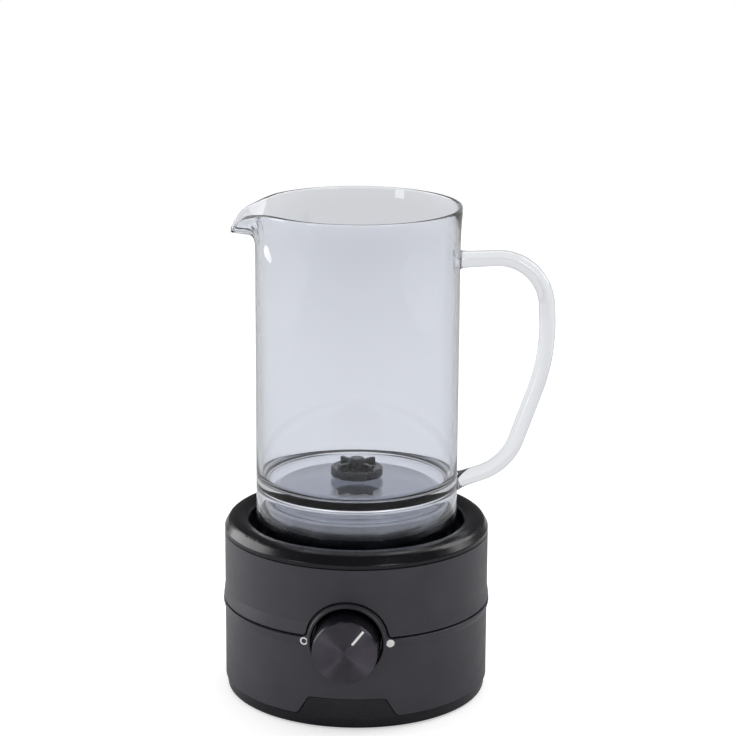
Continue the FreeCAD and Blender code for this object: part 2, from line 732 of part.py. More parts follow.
def bottom_plate():
    plate = rod(HOUSING_R, V(0, 0, Z_FOOT), UP, PLATE_T)
    posts = [rod(POST_R, spot, UP, POST_H + FUSE) for spot in board_spots(Z_PLATE_TOP - FUSE)]
    groove = tube(NON_SLIP_R - NON_SLIP_W / 2 - FIT, NON_SLIP_R + NON_SLIP_W / 2 + FIT,
                  Z_FOOT - CUT_OVER, Z_FOOT + NON_SLIP_SUNK)
    cuts = [groove]
    for spot in spots(CORNERS, BOTTOM_PITCH_R, Z_FOOT, CORNER_ANGLE):
        cuts.append(rod(BOTTOM_SCREW[2] + HEAD_PLAY, spot, UP, Z_BOTTOM_HEAD - Z_FOOT))
        cuts.append(rod(BOTTOM_SCREW[0] + HEAD_PLAY, spot, UP, PLATE_T))
    cuts += [pilot(spot, DOWN, BOARD_SCREW) for spot in board_spots(Z_BOARD)]
    return cut_all(joined([plate] + posts), cuts)


def non_slip_ring():
    inner = NON_SLIP_R - NON_SLIP_W / 2
    outer = NON_SLIP_R + NON_SLIP_W / 2
    top = Z_FOOT + NON_SLIP_SUNK
    return turned([
        (inner, 0, NON_SLIP_ROUND),
        (outer, 0, NON_SLIP_ROUND),
        (outer, top),
        (inner, top),
    ])


def bottom_screws():
    seats = spots(CORNERS, BOTTOM_PITCH_R, Z_BOTTOM_HEAD, CORNER_ANGLE)
    return [screw(seat, UP, BOTTOM_SCREW) for seat in seats]


# Well and hub

def hub_corners(inset, bottom):
    """Half section of the drive hub, drawn in by inset."""
    edge = max(HUB_ROUND - inset, 0.0)
    return [
        (0, bottom),
        (CAP_R - inset, bottom),
        (CAP_R - inset, Z_CAP - HUB_SHOULDER - inset, edge),
        (HUB_STEP_R + HUB_STEP_SLOPE - inset, Z_CAP - HUB_STEP_H - inset),
        (HUB_STEP_R - inset, Z_CAP - inset, edge),
        (0, Z_CAP - inset),
    ]


def hub_cap():
    inside = turned(hub_corners(CAP_WALL, Z_WELL - CUT_OVER))
    return turned(hub_corners(0.0, Z_WELL + FIT)).cut(inside)


def well_tub():
    hub = turned(hub_corners(TUB_INSET, Z_WELL_UNDER))
    floor = rod(TUB_R, V(0, 0, Z_WELL_UNDER), UP, WELL_FLOOR_T)
    wall = tube(WELL_R, TUB_R, Z_WELL_UNDER, Z_FLANGE_TOP)
    flange = tube(WELL_R, HOUSING_R, Z_FLANGE, Z_FLANGE_TOP)
    inside = turned(hub_corners(BORE_INSET, Z_WELL_UNDER - CUT_OVER))
    tub = joined([hub, floor, wall, flange]).cut(inside)
    reach = Z_HUB_UNDER - Z_HANGER + FUSE
    hangers = [rod(HANGER_R, spot, UP, reach) for spot in hanger_spots(Z_HANGER)]
    holes = [pilot(spot, UP, BRACKET_SCREW) for spot in hanger_spots(Z_BRACKET - GROMMET_FLANGE)]
    for spot in spots(CORNERS, FLANGE_PITCH_R, Z_FLANGE, CORNER_ANGLE):
        holes.append(rod(FLANGE_SCREW[0] + FIT, spot, UP, FLANGE_T))
    return cut_all(joined([tub] + hangers), holes)


def hanger_spots(height):
    return spots(CORNERS, HANGER_PITCH_R, height, CORNER_ANGLE)


def flange_screws():
    seats = spots(CORNERS, FLANGE_PITCH_R, Z_FLANGE_TOP, CORNER_ANGLE)
    return [screw(seat, DOWN, FLANGE_SCREW) for seat in seats]


def seat_cushion():
    outer = WELL_R - CUSHION_PLAY
    return tube(outer - CUSHION_W, outer, Z_WELL, Z_WELL + CUSHION_T)


# Motor

def motor_bracket():
    plate = rod(BRACKET_R, V(0, 0, Z_BRACKET), UP, BRACKET_T)
    cuts = [rod(MOTOR_BOSS_R + FIT, V(0, 0, Z_BRACKET), UP, BRACKET_T)]
    cuts += [rod(GROMMET_NECK_R + FIT, spot, UP, BRACKET_T) for spot in hanger_spots(Z_BRACKET)]
    for spot in spots(MOTOR_SCREW_COUNT, MOTOR_SCREW_R, Z_BRACKET):
        cuts.append(rod(MOTOR_SCREW[0] + FIT, spot, UP, BRACKET_T))
    return cut_all(plate, cuts)


def bracket_grommets():
    bore = BRACKET_SCREW[0] + FIT
    grommet = turned([
        (bore, -GROMMET_FLANGE),
        (GROMMET_R, -GROMMET_FLANGE),
        (GROMMET_R, 0),
        (GROMMET_NECK_R, 0),
        (GROMMET_NECK_R, BRACKET_T),
        (GROMMET_R, BRACKET_T),
        (GROMMET_R, BRACKET_T + GROMMET_FLANGE),
        (bore, BRACKET_T + GROMMET_FLANGE),
    ])
    return [grommet.translated(spot) for spot in hanger_spots(Z_BRACKET)]


def bracket_screws():
    return [screw(seat, UP, BRACKET_SCREW) for seat in hanger_spots(Z_BRACKET - GROMMET_FLANGE)]


def motor_can():
    can = turned([
        (CAN_BORE, Z_MOTOR),
        (MOTOR_R, Z_MOTOR),
        (MOTOR_R, Z_BRACKET),
        (MOTOR_BOSS_R, Z_BRACKET),
        (MOTOR_BOSS_R, Z_BRACKET + MOTOR_BOSS_H),
        (BUSH_R + PRESSED, Z_BRACKET + MOTOR_BOSS_H),
        (BUSH_R + PRESSED, Z_BRACKET - CAN_FRONT_T),
        (CAN_BORE, Z_BRACKET - CAN_FRONT_T),
    ])
    seats = spots(MOTOR_SCREW_COUNT, MOTOR_SCREW_R, Z_BRACKET_TOP)
    return cut_all(can, [pilot(seat, DOWN, MOTOR_SCREW) for seat in seats])


def motor_screws():
    seats = spots(MOTOR_SCREW_COUNT, MOTOR_SCREW_R, Z_BRACKET_TOP)
    return [screw(seat, DOWN, MOTOR_SCREW) for seat in seats]


def terminal_slots(grow):
    low = Z_TERMINAL
    height = Z_END_CAP_TOP - Z_TERMINAL
    return [block(side * TERMINAL_X, 0, low, TERMINAL_T + 2 * grow, TERMINAL_W + 2 * grow, height)
            for side in (-1, 1)]


def motor_end_cap():
    cap = turned([
        (BUSH_R + PRESSED, Z_MOTOR - END_BOSS_H),
        (END_BOSS_R, Z_MOTOR - END_BOSS_H),
        (END_BOSS_R, Z_MOTOR),
        (CAN_BORE - PRESSED, Z_MOTOR),
        (CAN_BORE - PRESSED, Z_END_CAP_TOP),
        (BUSH_R + PRESSED, Z_END_CAP_TOP),
    ])
    return cut_all(cap, terminal_slots(PRESSED))


def motor_bushes():
    upper = Z_BRACKET + MOTOR_BOSS_H - BUSH_H
    lower = Z_MOTOR - END_BOSS_H + END_BUSH_IN
    return [tube(SHAFT_R + RUNNING, BUSH_R, low, low + BUSH_H) for low in (upper, lower)]


def field_magnets():
    low = Z_MOTOR + FIELD_UP
    bore = rod(CAN_BORE - FIELD_T, V(0, 0, low - CUT_OVER), UP, FIELD_H + 2 * CUT_OVER)
    arcs = []
    for side in (-1, 1):
        arc = Part.makeCylinder(CAN_BORE - PRESSED, FIELD_H, V(0, 0, low), UP, FIELD_SPAN)
        arc.rotate(ORIGIN, UP, side * QUARTER_TURN - FIELD_SPAN / 2)
        arcs.append(arc.cut(bore))
    return arcs


def slot_angles():
    return [FULL_TURN * index / SLOT_COUNT for index in range(SLOT_COUNT)]


def armature_core():
    low = Z_MOTOR + ARMATURE_UP
    high = low + ARMATURE_H
    core = tube(SHAFT_R + PRESSED, ARMATURE_R, low, high)
    return cut_all(core, [
        radial_block(SLOT_FLOOR_R, MOTOR_R, SLOT_W, low - FUSE, high + FUSE, angle)
        for angle in slot_angles()
    ])


def armature_windings():
    low = Z_MOTOR + ARMATURE_UP
    high = low + ARMATURE_H
    inner = SLOT_FLOOR_R + WINDING_PLAY
    outer = ARMATURE_R - WINDING_IN
    width = SLOT_W - 2 * WINDING_PLAY
    ends = [tube(inner, outer, low - WINDING_H, low), tube(inner, outer, high, high + WINDING_H)]
    bars = [radial_block(inner + FUSE, outer - FUSE, width, low - FUSE, high + FUSE, angle)
            for angle in slot_angles()]
    return joined(ends + bars)


def commutator():
    low = Z_MOTOR + COMMUTATOR_UP
    return tube(SHAFT_R + PRESSED, COMMUTATOR_R, low, low + COMMUTATOR_H)


def motor_brushes():
    low = Z_MOTOR + COMMUTATOR_UP
    near = COMMUTATOR_R + RUNNING
    far = near + BRUSH_L
    brushes = []
    for side in (-1, 1):
        angle = side * QUARTER_TURN
        carbon = radial_block(near, far, BRUSH_W, low, low + COMMUTATOR_H, angle)
        leaf = radial_block(far, far + LEAF_T, BRUSH_W, Z_END_CAP_TOP, low + COMMUTATOR_H, angle)
        brushes.append(joined([carbon, leaf]))
    return brushes


# Drive rotor

def motor_shaft():
    low = Z_MOTOR - END_BOSS_H + SHAFT_END_UP
    return rod(SHAFT_R, V(0, 0, low), UP, Z_SHAFT_TOP - low)


def grub_rod(radius, start, length):
    """Rod on the grub screw's axis, from the shaft outwards."""
    return rod(radius, V(start, 0, Z_CARRIER_BOSS + GRUB_UP), RIGHT, length)


def magnet_carrier():
    body = turned([
        (SHAFT_R + PRESSED, Z_CARRIER_BOSS),
        (CARRIER_BOSS_R, Z_CARRIER_BOSS),
        (CARRIER_BOSS_R, Z_CARRIER),
        (CARRIER_R, Z_CARRIER),
        (CARRIER_R, Z_CARRIER_TOP),
        (SHAFT_R + PRESSED, Z_CARRIER_TOP),
    ])
    depth = MAGNET_T + MAGNET_SUNK
    pockets = [rod(MAGNET_R + PRESSED, spot, DOWN, depth)
               for spot in spots(MAGNET_COUNT, MAGNET_PITCH_R, Z_CARRIER_TOP)]
    return cut_all(body, pockets + [grub_rod(GRUB_R + SCREW_PLAY, 0, CARRIER_BOSS_R + CUT_OVER)])


def drive_magnets():
    top = Z_CARRIER_TOP - MAGNET_SUNK
    return [rod(MAGNET_R, spot, DOWN, MAGNET_T)
            for spot in spots(MAGNET_COUNT, MAGNET_PITCH_R, top)]


def grub_screw():
    return grub_rod(GRUB_R, SHAFT_R + PRESSED, CARRIER_BOSS_R - SHAFT_R - GRUB_SUNK)


# Speed control and knob

def speed_control():
    body = rod(CONTROL_R, V(0, Y_PANEL_BACK, KNOB_Z), BACK, CONTROL_H)
    thread = rod(THREAD_R, V(0, Y_THREAD_END, KNOB_Z), BACK, THREAD_L + FUSE)
    bore_l = Y_CONTROL_BACK - CONTROL_FLOOR - Y_THREAD_END
    bore = rod(SPINDLE_R + RUNNING, V(0, Y_THREAD_END, KNOB_Z), BACK, bore_l)
    return joined([body, thread]).cut(bore)


def control_washer():
    ring = rod(WASHER_R, V(0, Y_DISH - WASHER_T, KNOB_Z), BACK, WASHER_T)
    return ring.cut(rod(THREAD_R + FIT, V(0, Y_DISH - WASHER_T, KNOB_Z), BACK, WASHER_T))


def control_nut():
    front = Y_DISH - WASHER_T - NUT_T
    corners = [(spot.x, KNOB_Z + spot.y) for spot in spots(NUT_SIDES, NUT_R, 0)]
    hole = rod(THREAD_R + SCREW_PLAY, V(0, front, KNOB_Z), BACK, NUT_T)
    return front_prism(corners, front, NUT_T).cut(hole)


def control_lugs():
    body = rod(CONTROL_R, V(0, Y_PANEL_BACK, KNOB_Z), BACK, CONTROL_H)
    height = KNOB_Z - CONTROL_R / 2 - Z_LUG
    offsets = [(index - (LUG_COUNT - 1) / 2) * LUG_PITCH for index in range(LUG_COUNT)]
    return [block(x, Y_LUG, Z_LUG, LUG_W, LUG_T, height).cut(body) for x in offsets]


def flatted(radius, from_y, to_y):
    """Rod on the knob's axis with a flat down one side."""
    length = to_y - from_y
    round_rod = rod(radius, V(0, from_y, KNOB_Z), BACK, length)
    clearance = radius - SPINDLE_R
    beyond = Part.makeBox(radius, length, 2 * radius, V(SPINDLE_FLAT + clearance, from_y, KNOB_Z - radius))
    return round_rod.cut(beyond)


def control_spindle():
    flat_end = (Y_BOSS + Y_THREAD_END) / 2
    plain = rod(SPINDLE_R, V(0, flat_end, KNOB_Z), BACK, Y_SPINDLE_END - flat_end)
    return joined([flatted(SPINDLE_R, Y_SPINDLE_TIP, flat_end), plain])


def knob_body():
    outside = turned_on_knob_axis([
        (0, Y_KNOB_FRONT),
        (KNOB_R, Y_KNOB_FRONT, KNOB_EDGE),
        (KNOB_BACK_R, Y_KNOB_BACK),
        (0, Y_KNOB_BACK),
    ])
    depth = Y_KNOB_BACK - Y_BOSS_FLOOR
    hollow = rod(KNOB_R - KNOB_WALL, V(0, Y_BOSS_FLOOR, KNOB_Z), BACK, depth)
    boss = rod(BOSS_R, V(0, Y_BOSS_FLOOR - FUSE, KNOB_Z), BACK, Y_BOSS - Y_BOSS_FLOOR + FUSE)
    bore = flatted(SPINDLE_R + PRESSED, Y_BOSS_FLOOR, Y_BOSS)
    return joined([outside.cut(hollow), boss]).cut(bore)


def pointer(grow):
    """Bar on the knob's face, turned clockwise from the top."""
    half = POINTER_W / 2 + grow
    corners = [
        (-half, KNOB_Z + POINTER_FROM - grow, POINTER_ROUND),
        (half, KNOB_Z + POINTER_FROM - grow, POINTER_ROUND),
        (half, KNOB_Z + POINTER_TO + grow),
        (-half, KNOB_Z + POINTER_TO + grow),
    ]
    bar = front_prism(corners, Y_FACE, POINTER_DEPTH)
    bar.rotate(KNOB_CENTRE, BACK, POINTER_ANGLE)
    return bar


def knob_face():
    disc = turned_on_knob_axis([
        (0, Y_FACE),
        (KNOB_R - FACE_INSET - FACE_CHAMFER, Y_FACE),
        (KNOB_R - FACE_INSET, Y_FACE + FACE_CHAMFER),
        (KNOB_R - FACE_INSET, Y_KNOB_FRONT),
        (0, Y_KNOB_FRONT),
    ])
    return disc.cut(pointer(PRESSED))


# Power inlet

def power_inlet():
    flange = rod(INLET_FLANGE_R, V(0, BODY_R, Z_INLET), FRONT, INLET_FLANGE_T)
    barrel = rod(INLET_R, V(0, BODY_R, Z_INLET), FRONT, INLET_L)
    socket = rod(SOCKET_R, V(0, BODY_R, Z_INLET), FRONT, SOCKET_DEPTH)
    return joined([flange, barrel]).cut(socket)


def inlet_pin():
    return rod(PIN_R, V(0, Y_SOCKET_FLOOR, Z_INLET), BACK, PIN_L)


def inlet_nut():
    ring = rod(INLET_FLANGE_R, V(0, Y_INLET_NUT, Z_INLET), FRONT, INLET_NUT_T)
    return ring.cut(rod(INLET_R + SCREW_PLAY, V(0, Y_INLET_NUT, Z_INLET), FRONT, INLET_NUT_T))


def inlet_tags():
    middle = (Y_INLET_END + Y_TAG_END) / 2
    return [block(side * TAG_X, middle, Z_INLET - TAG_T / 2, TAG_W, TAG_L, TAG_T) for side in (-1, 1)]


# Control board

def board_spots(height):
    return [V(x, y, height) for x in (-POST_X, POST_X) for y in (-POST_Y, POST_Y)]


def control_board():
    board = block(0, 0, Z_BOARD, BOARD_X, BOARD_Y, BOARD_T)
    return cut_all(board, [rod(BOARD_SCREW[0] + FIT, spot, UP, BOARD_T) for spot in board_spots(Z_BOARD)])


def board_screws():
    return [screw(spot, DOWN, BOARD_SCREW) for spot in board_spots(Z_BOARD_TOP)]


def on_board(parts):
    return [block(x, y, Z_BOARD_TOP, width, depth, height) for x, y, width, depth, height in parts]


def board_capacitors():
    return [rod(radius, V(x, y, Z_BOARD_TOP), UP, height) for x, y, radius, height in CAPACITORS]


def heat_sink():
    x, y = SINK_AT
    back = y - (SINK_Y - SINK_BASE) / 2
    plate = block(x, back, Z_BOARD_TOP, SINK_X, SINK_BASE, SINK_H)
    pitch = (SINK_X - FIN_T) / (FIN_COUNT - 1)
    first = x - (SINK_X - FIN_T) / 2
    fins = [block(first + pitch * index, y, Z_BOARD_TOP, FIN_T, SINK_Y, SINK_H)
            for index in range(FIN_COUNT)]
    return joined([plate] + fins)


# Leads

def control_leads():
    y = CONTROL_PLUG[1]
    run = Z_PLUG + LEAD_RISE
    offsets = [(index - (LUG_COUNT - 1) / 2) * LUG_PITCH for index in range(LUG_COUNT)]
    return [lead([V(x, Y_LUG, Z_LUG), V(x, Y_LUG, run), V(x, y, run), V(x, y, Z_PLUG)]) for x in offsets]


def inlet_leads():
    y = INLET_PLUG[1]
    return [lead([V(x, Y_TAG_END, Z_INLET), V(x, y, Z_INLET), V(x, y, Z_PLUG)])
            for x in (-TAG_X, TAG_X)]


def motor_leads():
    plug_x, plug_y = MOTOR_PLUG[:2]
    leads = []
    for side, drop in zip((1, -1), MOTOR_LEAD_DROPS):
        x = plug_x - side * MOTOR_LEAD_SIDE
        run = Z_TERMINAL - drop
        leads.append(lead([
            V(side * TERMINAL_X, 0, Z_TERMINAL),
            V(side * TERMINAL_X, 0, run),
            V(x, plug_y, run),
            V(x, plug_y, Z_PLUG),
        ]))
    return leads


# Jug

def on_hub(shape):
    shape.rotate(ORIGIN, UP, JUG_TURN)
    return shape


def spout_section(reach, half_width, top, bottom):
    """Closed U across the spout: half an ellipse under a straight line."""
    x = -(JUG_R + reach)
    angles = [math.pi * index / (SPOUT_POINTS - 1) for index in range(SPOUT_POINTS)]
    points = [V(x, half_width * math.cos(angle), top - (top - bottom) * math.sin(angle))
              for angle in angles]
    curve = Part.BSplineCurve()
    curve.interpolate(points)
    return Part.Wire([curve.toShape(), Part.LineSegment(points[-1], points[0]).toShape()])


def spout_outside():
    sections = [spout_section(reach, half_width, Z_RIM - lip, Z_RIM - keel)
                for reach, half_width, lip, keel in SPOUT]
    return Part.makeLoft(sections, True, False)


def spout_channel():
    """Inside of the spout, one wall in from the outside and open above."""
    top = Z_RIM + CUT_OVER
    sections = []
    for reach, half_width, lip, keel in SPOUT:
        inner_half = max(half_width - SPOUT_WALL, SPOUT_WALL / 2)
        sections.append(spout_section(reach + FUSE, inner_half, top, Z_RIM - keel + SPOUT_WALL))
    return Part.makeLoft(sections, True, False)


def jug_glass():
    bore_r = JUG_R - JUG_WALL
    flare_z = Z_RIM - RIM_FLARE_H
    outside = turned([
        (0, Z_JUG),
        (JUG_R, Z_JUG, JUG_EDGE_ROUND),
        (JUG_R, flare_z),
        (JUG_R + RIM_FLARE, Z_RIM, RIM_ROUND),
        (0, Z_RIM),
    ])
    inside = turned([
        (0, Z_JUG_FLOOR_TOP),
        (bore_r, Z_JUG_FLOOR_TOP, JUG_FLOOR_ROUND),
        (bore_r, flare_z),
        (bore_r + RIM_FLARE, Z_RIM - RIM_ROUND),
        (bore_r + RIM_FLARE + RIM_ROUND / 2, Z_RIM + TINY),
        (bore_r + RIM_FLARE + RIM_ROUND / 2, Z_RIM + CUT_OVER),
        (0, Z_RIM + CUT_OVER),
    ])
    foot = turned([
        (0, Z_JUG - CUT_OVER),
        (bore_r, Z_JUG - CUT_OVER),
        (bore_r, Z_JUG_FLOOR, JUG_FOOT_ROUND),
        (0, Z_JUG_FLOOR),
    ])
    return on_hub(cut_all(outside.fuse(spout_outside()), [inside, foot, spout_channel()]))


def jug_handle():
    corners = [(V(JUG_R + out, 0, Z_JUG + height), bend) for out, height, bend in HANDLE]
    path = Part.Wire(rounded_edges(corners, False))
    pieces = []
    for root, onward in ((corners[0][0], corners[1][0]), (corners[-1][0], corners[-2][0])):
        along = (onward - root).normalize()
        pieces.append(Part.makeCone(ROOT_R, ROD_R, ROOT_L, root, along))
        pieces.append(rod(ROOT_R, root - along * ROOT_L, along, ROOT_L))
    start = Part.Circle(corners[0][0], corners[1][0] - corners[0][0], ROD_R).toShape()
    pieces.append(path.makePipeShell([Part.Wire(start)], True, False))
    wall = rod(JUG_R + PRESSED, V(0, 0, Z_JUG), UP, JUG_H)
    return on_hub(joined(pieces).cut(wall))


# Stirrer

def stirrer_body():
    base_top = Z_STIRRER_UNDER + STIRRER_BASE_H
    disc = turned([
        (0, Z_STIRRER),
        (STIRRER_FOOT_R, Z_STIRRER),
        (STIRRER_FOOT_R, Z_STIRRER_UNDER),
        (STIRRER_R, Z_STIRRER_UNDER, STIRRER_ROUND),
        (STIRRER_R, base_top, STIRRER_ROUND),
        (STIRRER_HUB_R, base_top),
        (STIRRER_HUB_R, Z_STIRRER + STIRRER_H, STIRRER_ROUND),
        (0, Z_STIRRER + STIRRER_H),
    ])
    vanes = [
        radial_block(STIRRER_HUB_R - FUSE, STIRRER_R - VANE_IN, VANE_T,
                     base_top - FUSE, Z_STIRRER + STIRRER_H - VANE_T,
                     CORNER_ANGLE + FULL_TURN * index / VANE_COUNT)
        for index in range(VANE_COUNT)
    ]
    pockets = [rod(STIR_MAGNET_R + PRESSED, spot, UP, STIR_MAGNET_T + MAGNET_SUNK)
               for spot in spots(MAGNET_COUNT, STIR_MAGNET_PITCH_R, Z_STIRRER_UNDER)]
    return cut_all(joined([disc] + vanes), pockets)


def stirrer_magnets():
    low = Z_STIRRER_UNDER + MAGNET_SUNK
    return [rod(STIR_MAGNET_R, spot, UP, STIR_MAGNET_T)
            for spot in spots(MAGNET_COUNT, STIR_MAGNET_PITCH_R, low)]


os.makedirs("parts", exist_ok=True)

save("non_slip_ring", [non_slip_ring()])
save("bottom_plate", [bottom_plate()])
save("bottom_screws", bottom_screws())
save("foot_ring", [foot_ring()])
save("lower_sleeve", [lower_sleeve()])
save("belt_bezel", [belt_bezel()])
save("dial_marks", dial_marks())
save("upper_sleeve", [upper_sleeve()])
save("top_collar", [collar()])
save("inner_housing", [inner_housing()])
save("well_tub", [well_tub()])
save("flange_screws", flange_screws())
save("hub_cap", [hub_cap()])
save("seat_cushion", [seat_cushion()])
save("motor_bracket", [motor_bracket()])
save("bracket_grommets", bracket_grommets())
save("bracket_screws", bracket_screws())
save("motor_can", [motor_can()])
save("motor_screws", motor_screws())
save("motor_end_cap", [motor_end_cap()])
save("motor_terminals", terminal_slots(0.0))
save("motor_bushes", motor_bushes())
save("motor_brushes", motor_brushes())
save("field_magnets", field_magnets())
save("speed_control", [speed_control()])
save("control_washer", [control_washer()])
save("control_nut", [control_nut()])
save("control_lugs", control_lugs())
save("power_inlet", [power_inlet()])
save("inlet_pin", [inlet_pin()])
save("inlet_nut", [inlet_nut()])
save("inlet_tags", inlet_tags())
save("control_board", [control_board()])
save("board_screws", board_screws())
save("board_plugs", on_board([CONTROL_PLUG, INLET_PLUG, MOTOR_PLUG]))
save("board_chips", on_board(CHIPS))
save("board_capacitors", board_capacitors())
save("heat_sink", [heat_sink()])
save("control_leads", control_leads())
save("inlet_leads", inlet_leads())
save("motor_leads", motor_leads())

save("motor_shaft", [motor_shaft()])
save("armature_core", [armature_core()])
save("armature_windings", [armature_windings()])
save("commutator", [commutator()])
save("magnet_carrier", [magnet_carrier()])
save("drive_magnets", drive_magnets())
save("grub_screw", [grub_screw()])

save("knob_body", [knob_body()])
save("knob_face", [knob_face()])
save("pointer_line", [pointer(0.0)])
save("control_spindle", [control_spindle()])

save("jug_glass", [jug_glass()])
save("jug_handle", [jug_handle()])

save("stirrer_body", [stirrer_body()])
save("stirrer_magnets", stirrer_magnets())
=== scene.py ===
# %% [markdown]
# # A magnetic-stir cold brew maker
# A round base holds a small motor that spins a bar of magnets under a dome. The
# glass jug has a hollow foot that drops over the dome, and a stirrer in the jug
# follows the magnets. The solids come from CAD and stay where they are. This file
# gives every piece its finish, and makes anew the pieces whose look depends on
# smooth curves or fine corners: the glass, its handle and the screws.

# %% Load the CAD frame
import json
import math

import bmesh
import bpy
from mathutils import Matrix, Vector


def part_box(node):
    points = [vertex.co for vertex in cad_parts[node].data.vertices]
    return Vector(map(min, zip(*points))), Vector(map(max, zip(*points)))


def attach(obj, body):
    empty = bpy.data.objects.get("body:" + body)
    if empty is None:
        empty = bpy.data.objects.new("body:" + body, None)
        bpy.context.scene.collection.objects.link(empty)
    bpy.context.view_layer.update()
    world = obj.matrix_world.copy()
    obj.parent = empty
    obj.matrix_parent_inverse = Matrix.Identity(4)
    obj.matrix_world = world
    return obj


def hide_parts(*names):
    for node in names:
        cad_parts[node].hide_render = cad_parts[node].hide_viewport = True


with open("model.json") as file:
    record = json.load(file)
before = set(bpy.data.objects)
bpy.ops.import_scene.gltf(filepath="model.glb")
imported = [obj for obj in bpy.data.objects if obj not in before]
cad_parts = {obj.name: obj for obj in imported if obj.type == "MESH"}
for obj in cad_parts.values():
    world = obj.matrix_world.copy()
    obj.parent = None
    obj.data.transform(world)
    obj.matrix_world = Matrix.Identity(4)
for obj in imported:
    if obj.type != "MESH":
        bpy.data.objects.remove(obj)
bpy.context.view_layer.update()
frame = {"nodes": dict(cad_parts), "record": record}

MM = 0.001
nodes = frame["nodes"]

# %% [markdown]
# ## Measures
# Every place below is worked out from the CAD solids, so that a new piece fits the
# one it stands for. The helpers read a node's lowest and highest corner. The jug's
# wall is stated, because its widest point is at the rim, and so is the angle by
# which the jug stands turned on its hub.

# %% Read the sizes that the new pieces need


def low(node):
    return Vector(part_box(node)[0])


def high(node):
    return Vector(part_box(node)[1])


JUG_R = 49.4 * MM
JUG_WALL = 2.4 * MM
JUG_TURN = math.radians(6.0)
JUG_FOOT = low("jug_glass").z
RIM_Z = high("jug_glass").z
KNOB_Z = (low("knob_body").z + high("knob_body").z) / 2
print("jug", round(JUG_FOOT / MM, 2), "to", round(RIM_Z / MM, 2), "mm;",
      "knob axis at", round(KNOB_Z / MM, 2))

# %% [markdown]
# ## One helper for every node tree
# A finish is a small tree of shader nodes, and a repeated part is a small tree of
# geometry nodes. One function adds a node to either, sets its options, and fills or
# links its sockets. Colours are written as the sRGB hex values of a colour card and
# turned to the linear values that the shader works in.

# %% Colours and nodes


def linear(hex_colour):
    """Linear colour with full alpha from an sRGB hex value."""
    channels = [int(hex_colour[i:i + 2], 16) / 255 for i in (1, 3, 5)]
    return tuple(c / 12.92 if c <= 0.04045 else ((c + 0.055) / 1.055) ** 2.4
                 for c in channels) + (1.0,)


def add(tree, kind, inputs=None, **settings):
    """Adds a node. inputs maps a socket to a value, or to the node or output that feeds it."""
    node = tree.nodes.new(kind if "Node" in kind else "ShaderNode" + kind)
    for name, value in settings.items():
        setattr(node, name, value)
    for name, value in (inputs or {}).items():
        if isinstance(value, bpy.types.Node):
            value = value.outputs[0]
        if isinstance(value, bpy.types.NodeSocket):
            tree.links.new(value, node.inputs[name])
        else:
            node.inputs[name].default_value = value
    return node


def blank_finish(name):
    """New material and its empty node tree."""
    material = bpy.data.materials.new(name)
    material.use_nodes = True
    material.node_tree.nodes.clear()
    return material, material.node_tree


# A Mix node has its colours at the first numbers and its plain values at the second.
MIX_A, MIX_B, MIX_RESULT = 6, 7, 2
FLOAT_A, FLOAT_B = 2, 3
print("graphite is linear", [round(c, 3) for c in linear("#39383f")[:3]])

# %% [markdown]
# ## Patterns
# Moulded, painted and rolled surfaces are never even. `wander` gives a value that
# drifts between two limits over patches of a real size, read from the piece's own
# coordinates. `stripes` gives the regular lines of wire, laminations and turning.

# %% Two patterns


def wander(tree, patch_mm, lowest=0.0, highest=1.0, stretch=(1.0, 1.0, 1.0), detail=2.0):
    """Value between two limits that drifts over patches patch_mm wide."""
    place = add(tree, "TexCoord").outputs["Object"]
    stretched = add(tree, "Mapping", {"Vector": place, "Scale": stretch})
    cloud = add(tree, "TexNoise", {
        "Vector": stretched, "Scale": 1.0 / (patch_mm * MM), "Detail": detail,
    })
    return add(tree, "MapRange", {
        "Value": cloud, "From Min": 0.3, "From Max": 0.7, "To Min": lowest, "To Max": highest,
    }).outputs["Result"]


def stripes(tree, pitch_mm, direction, centre=(0.0, 0.0, 0.0), rings=False):
    """Lines pitch_mm apart, across an axis or in rings round it."""
    place = add(tree, "TexCoord").outputs["Object"]
    centred = add(tree, "Mapping", {"Vector": place, "Location": tuple(-c for c in centre)})
    wave = add(tree, "TexWave", {"Vector": centred, "Scale": math.pi / 10 / (pitch_mm * MM)})
    wave.wave_type = "RINGS" if rings else "BANDS"
    wave.rings_direction = direction
    wave.bands_direction = direction
    return wave.outputs["Fac"]


print("patterns ready")

# %% [markdown]
# ## Plain finishes
# Most parts differ only in colour, gloss and grain, so one function makes them all.
# Two near colours mix over patches, the gloss drifts over smaller ones, and a fine
# grain in the bump gives the skin that the mould, the paint or the plating left.
# Constants such as metallic go straight on the shader's own sockets.

# %% Make a plain finish


def plain_finish(name, darker, lighter, gloss, patch_mm, grain_mm, depth_mm,
                 extra=None, lines=None):
    """gloss is (lowest, highest) roughness; lines is (pitch_mm, axis) for a lined surface."""
    material, tree = blank_finish(name)
    colour = add(tree, "Mix", {
        0: wander(tree, patch_mm), MIX_A: linear(darker), MIX_B: linear(lighter),
    }, data_type="RGBA")
    relief = stripes(tree, *lines) if lines else wander(tree, grain_mm, detail=1.0)
    shader = add(tree, "BsdfPrincipled", {
        "Base Color": colour.outputs[MIX_RESULT],
        "Roughness": wander(tree, patch_mm / 2, *gloss),
        "Normal": add(tree, "Bump", {"Height": relief, "Distance": depth_mm * MM, "Strength": 1.0}),
        **(extra or {}),
    })
    add(tree, "OutputMaterial", {"Surface": shader})
    return material


METAL = {"Metallic": 1.0}
finishes = {}
print("plain finishes can be made")

# %% [markdown]
# ## Plastics, rubber and paint
# The sleeves are drawn metal under a satin graphite paint: a dark grey with a broad
# soft sheen and a fine mist of grain. The foot is satin moulded ABS, darker and
# tighter. The collar and the knob's skirt come from a polished mould, so they are
# nearly black and mirror the lamps. Rubber and silicone stay matt.

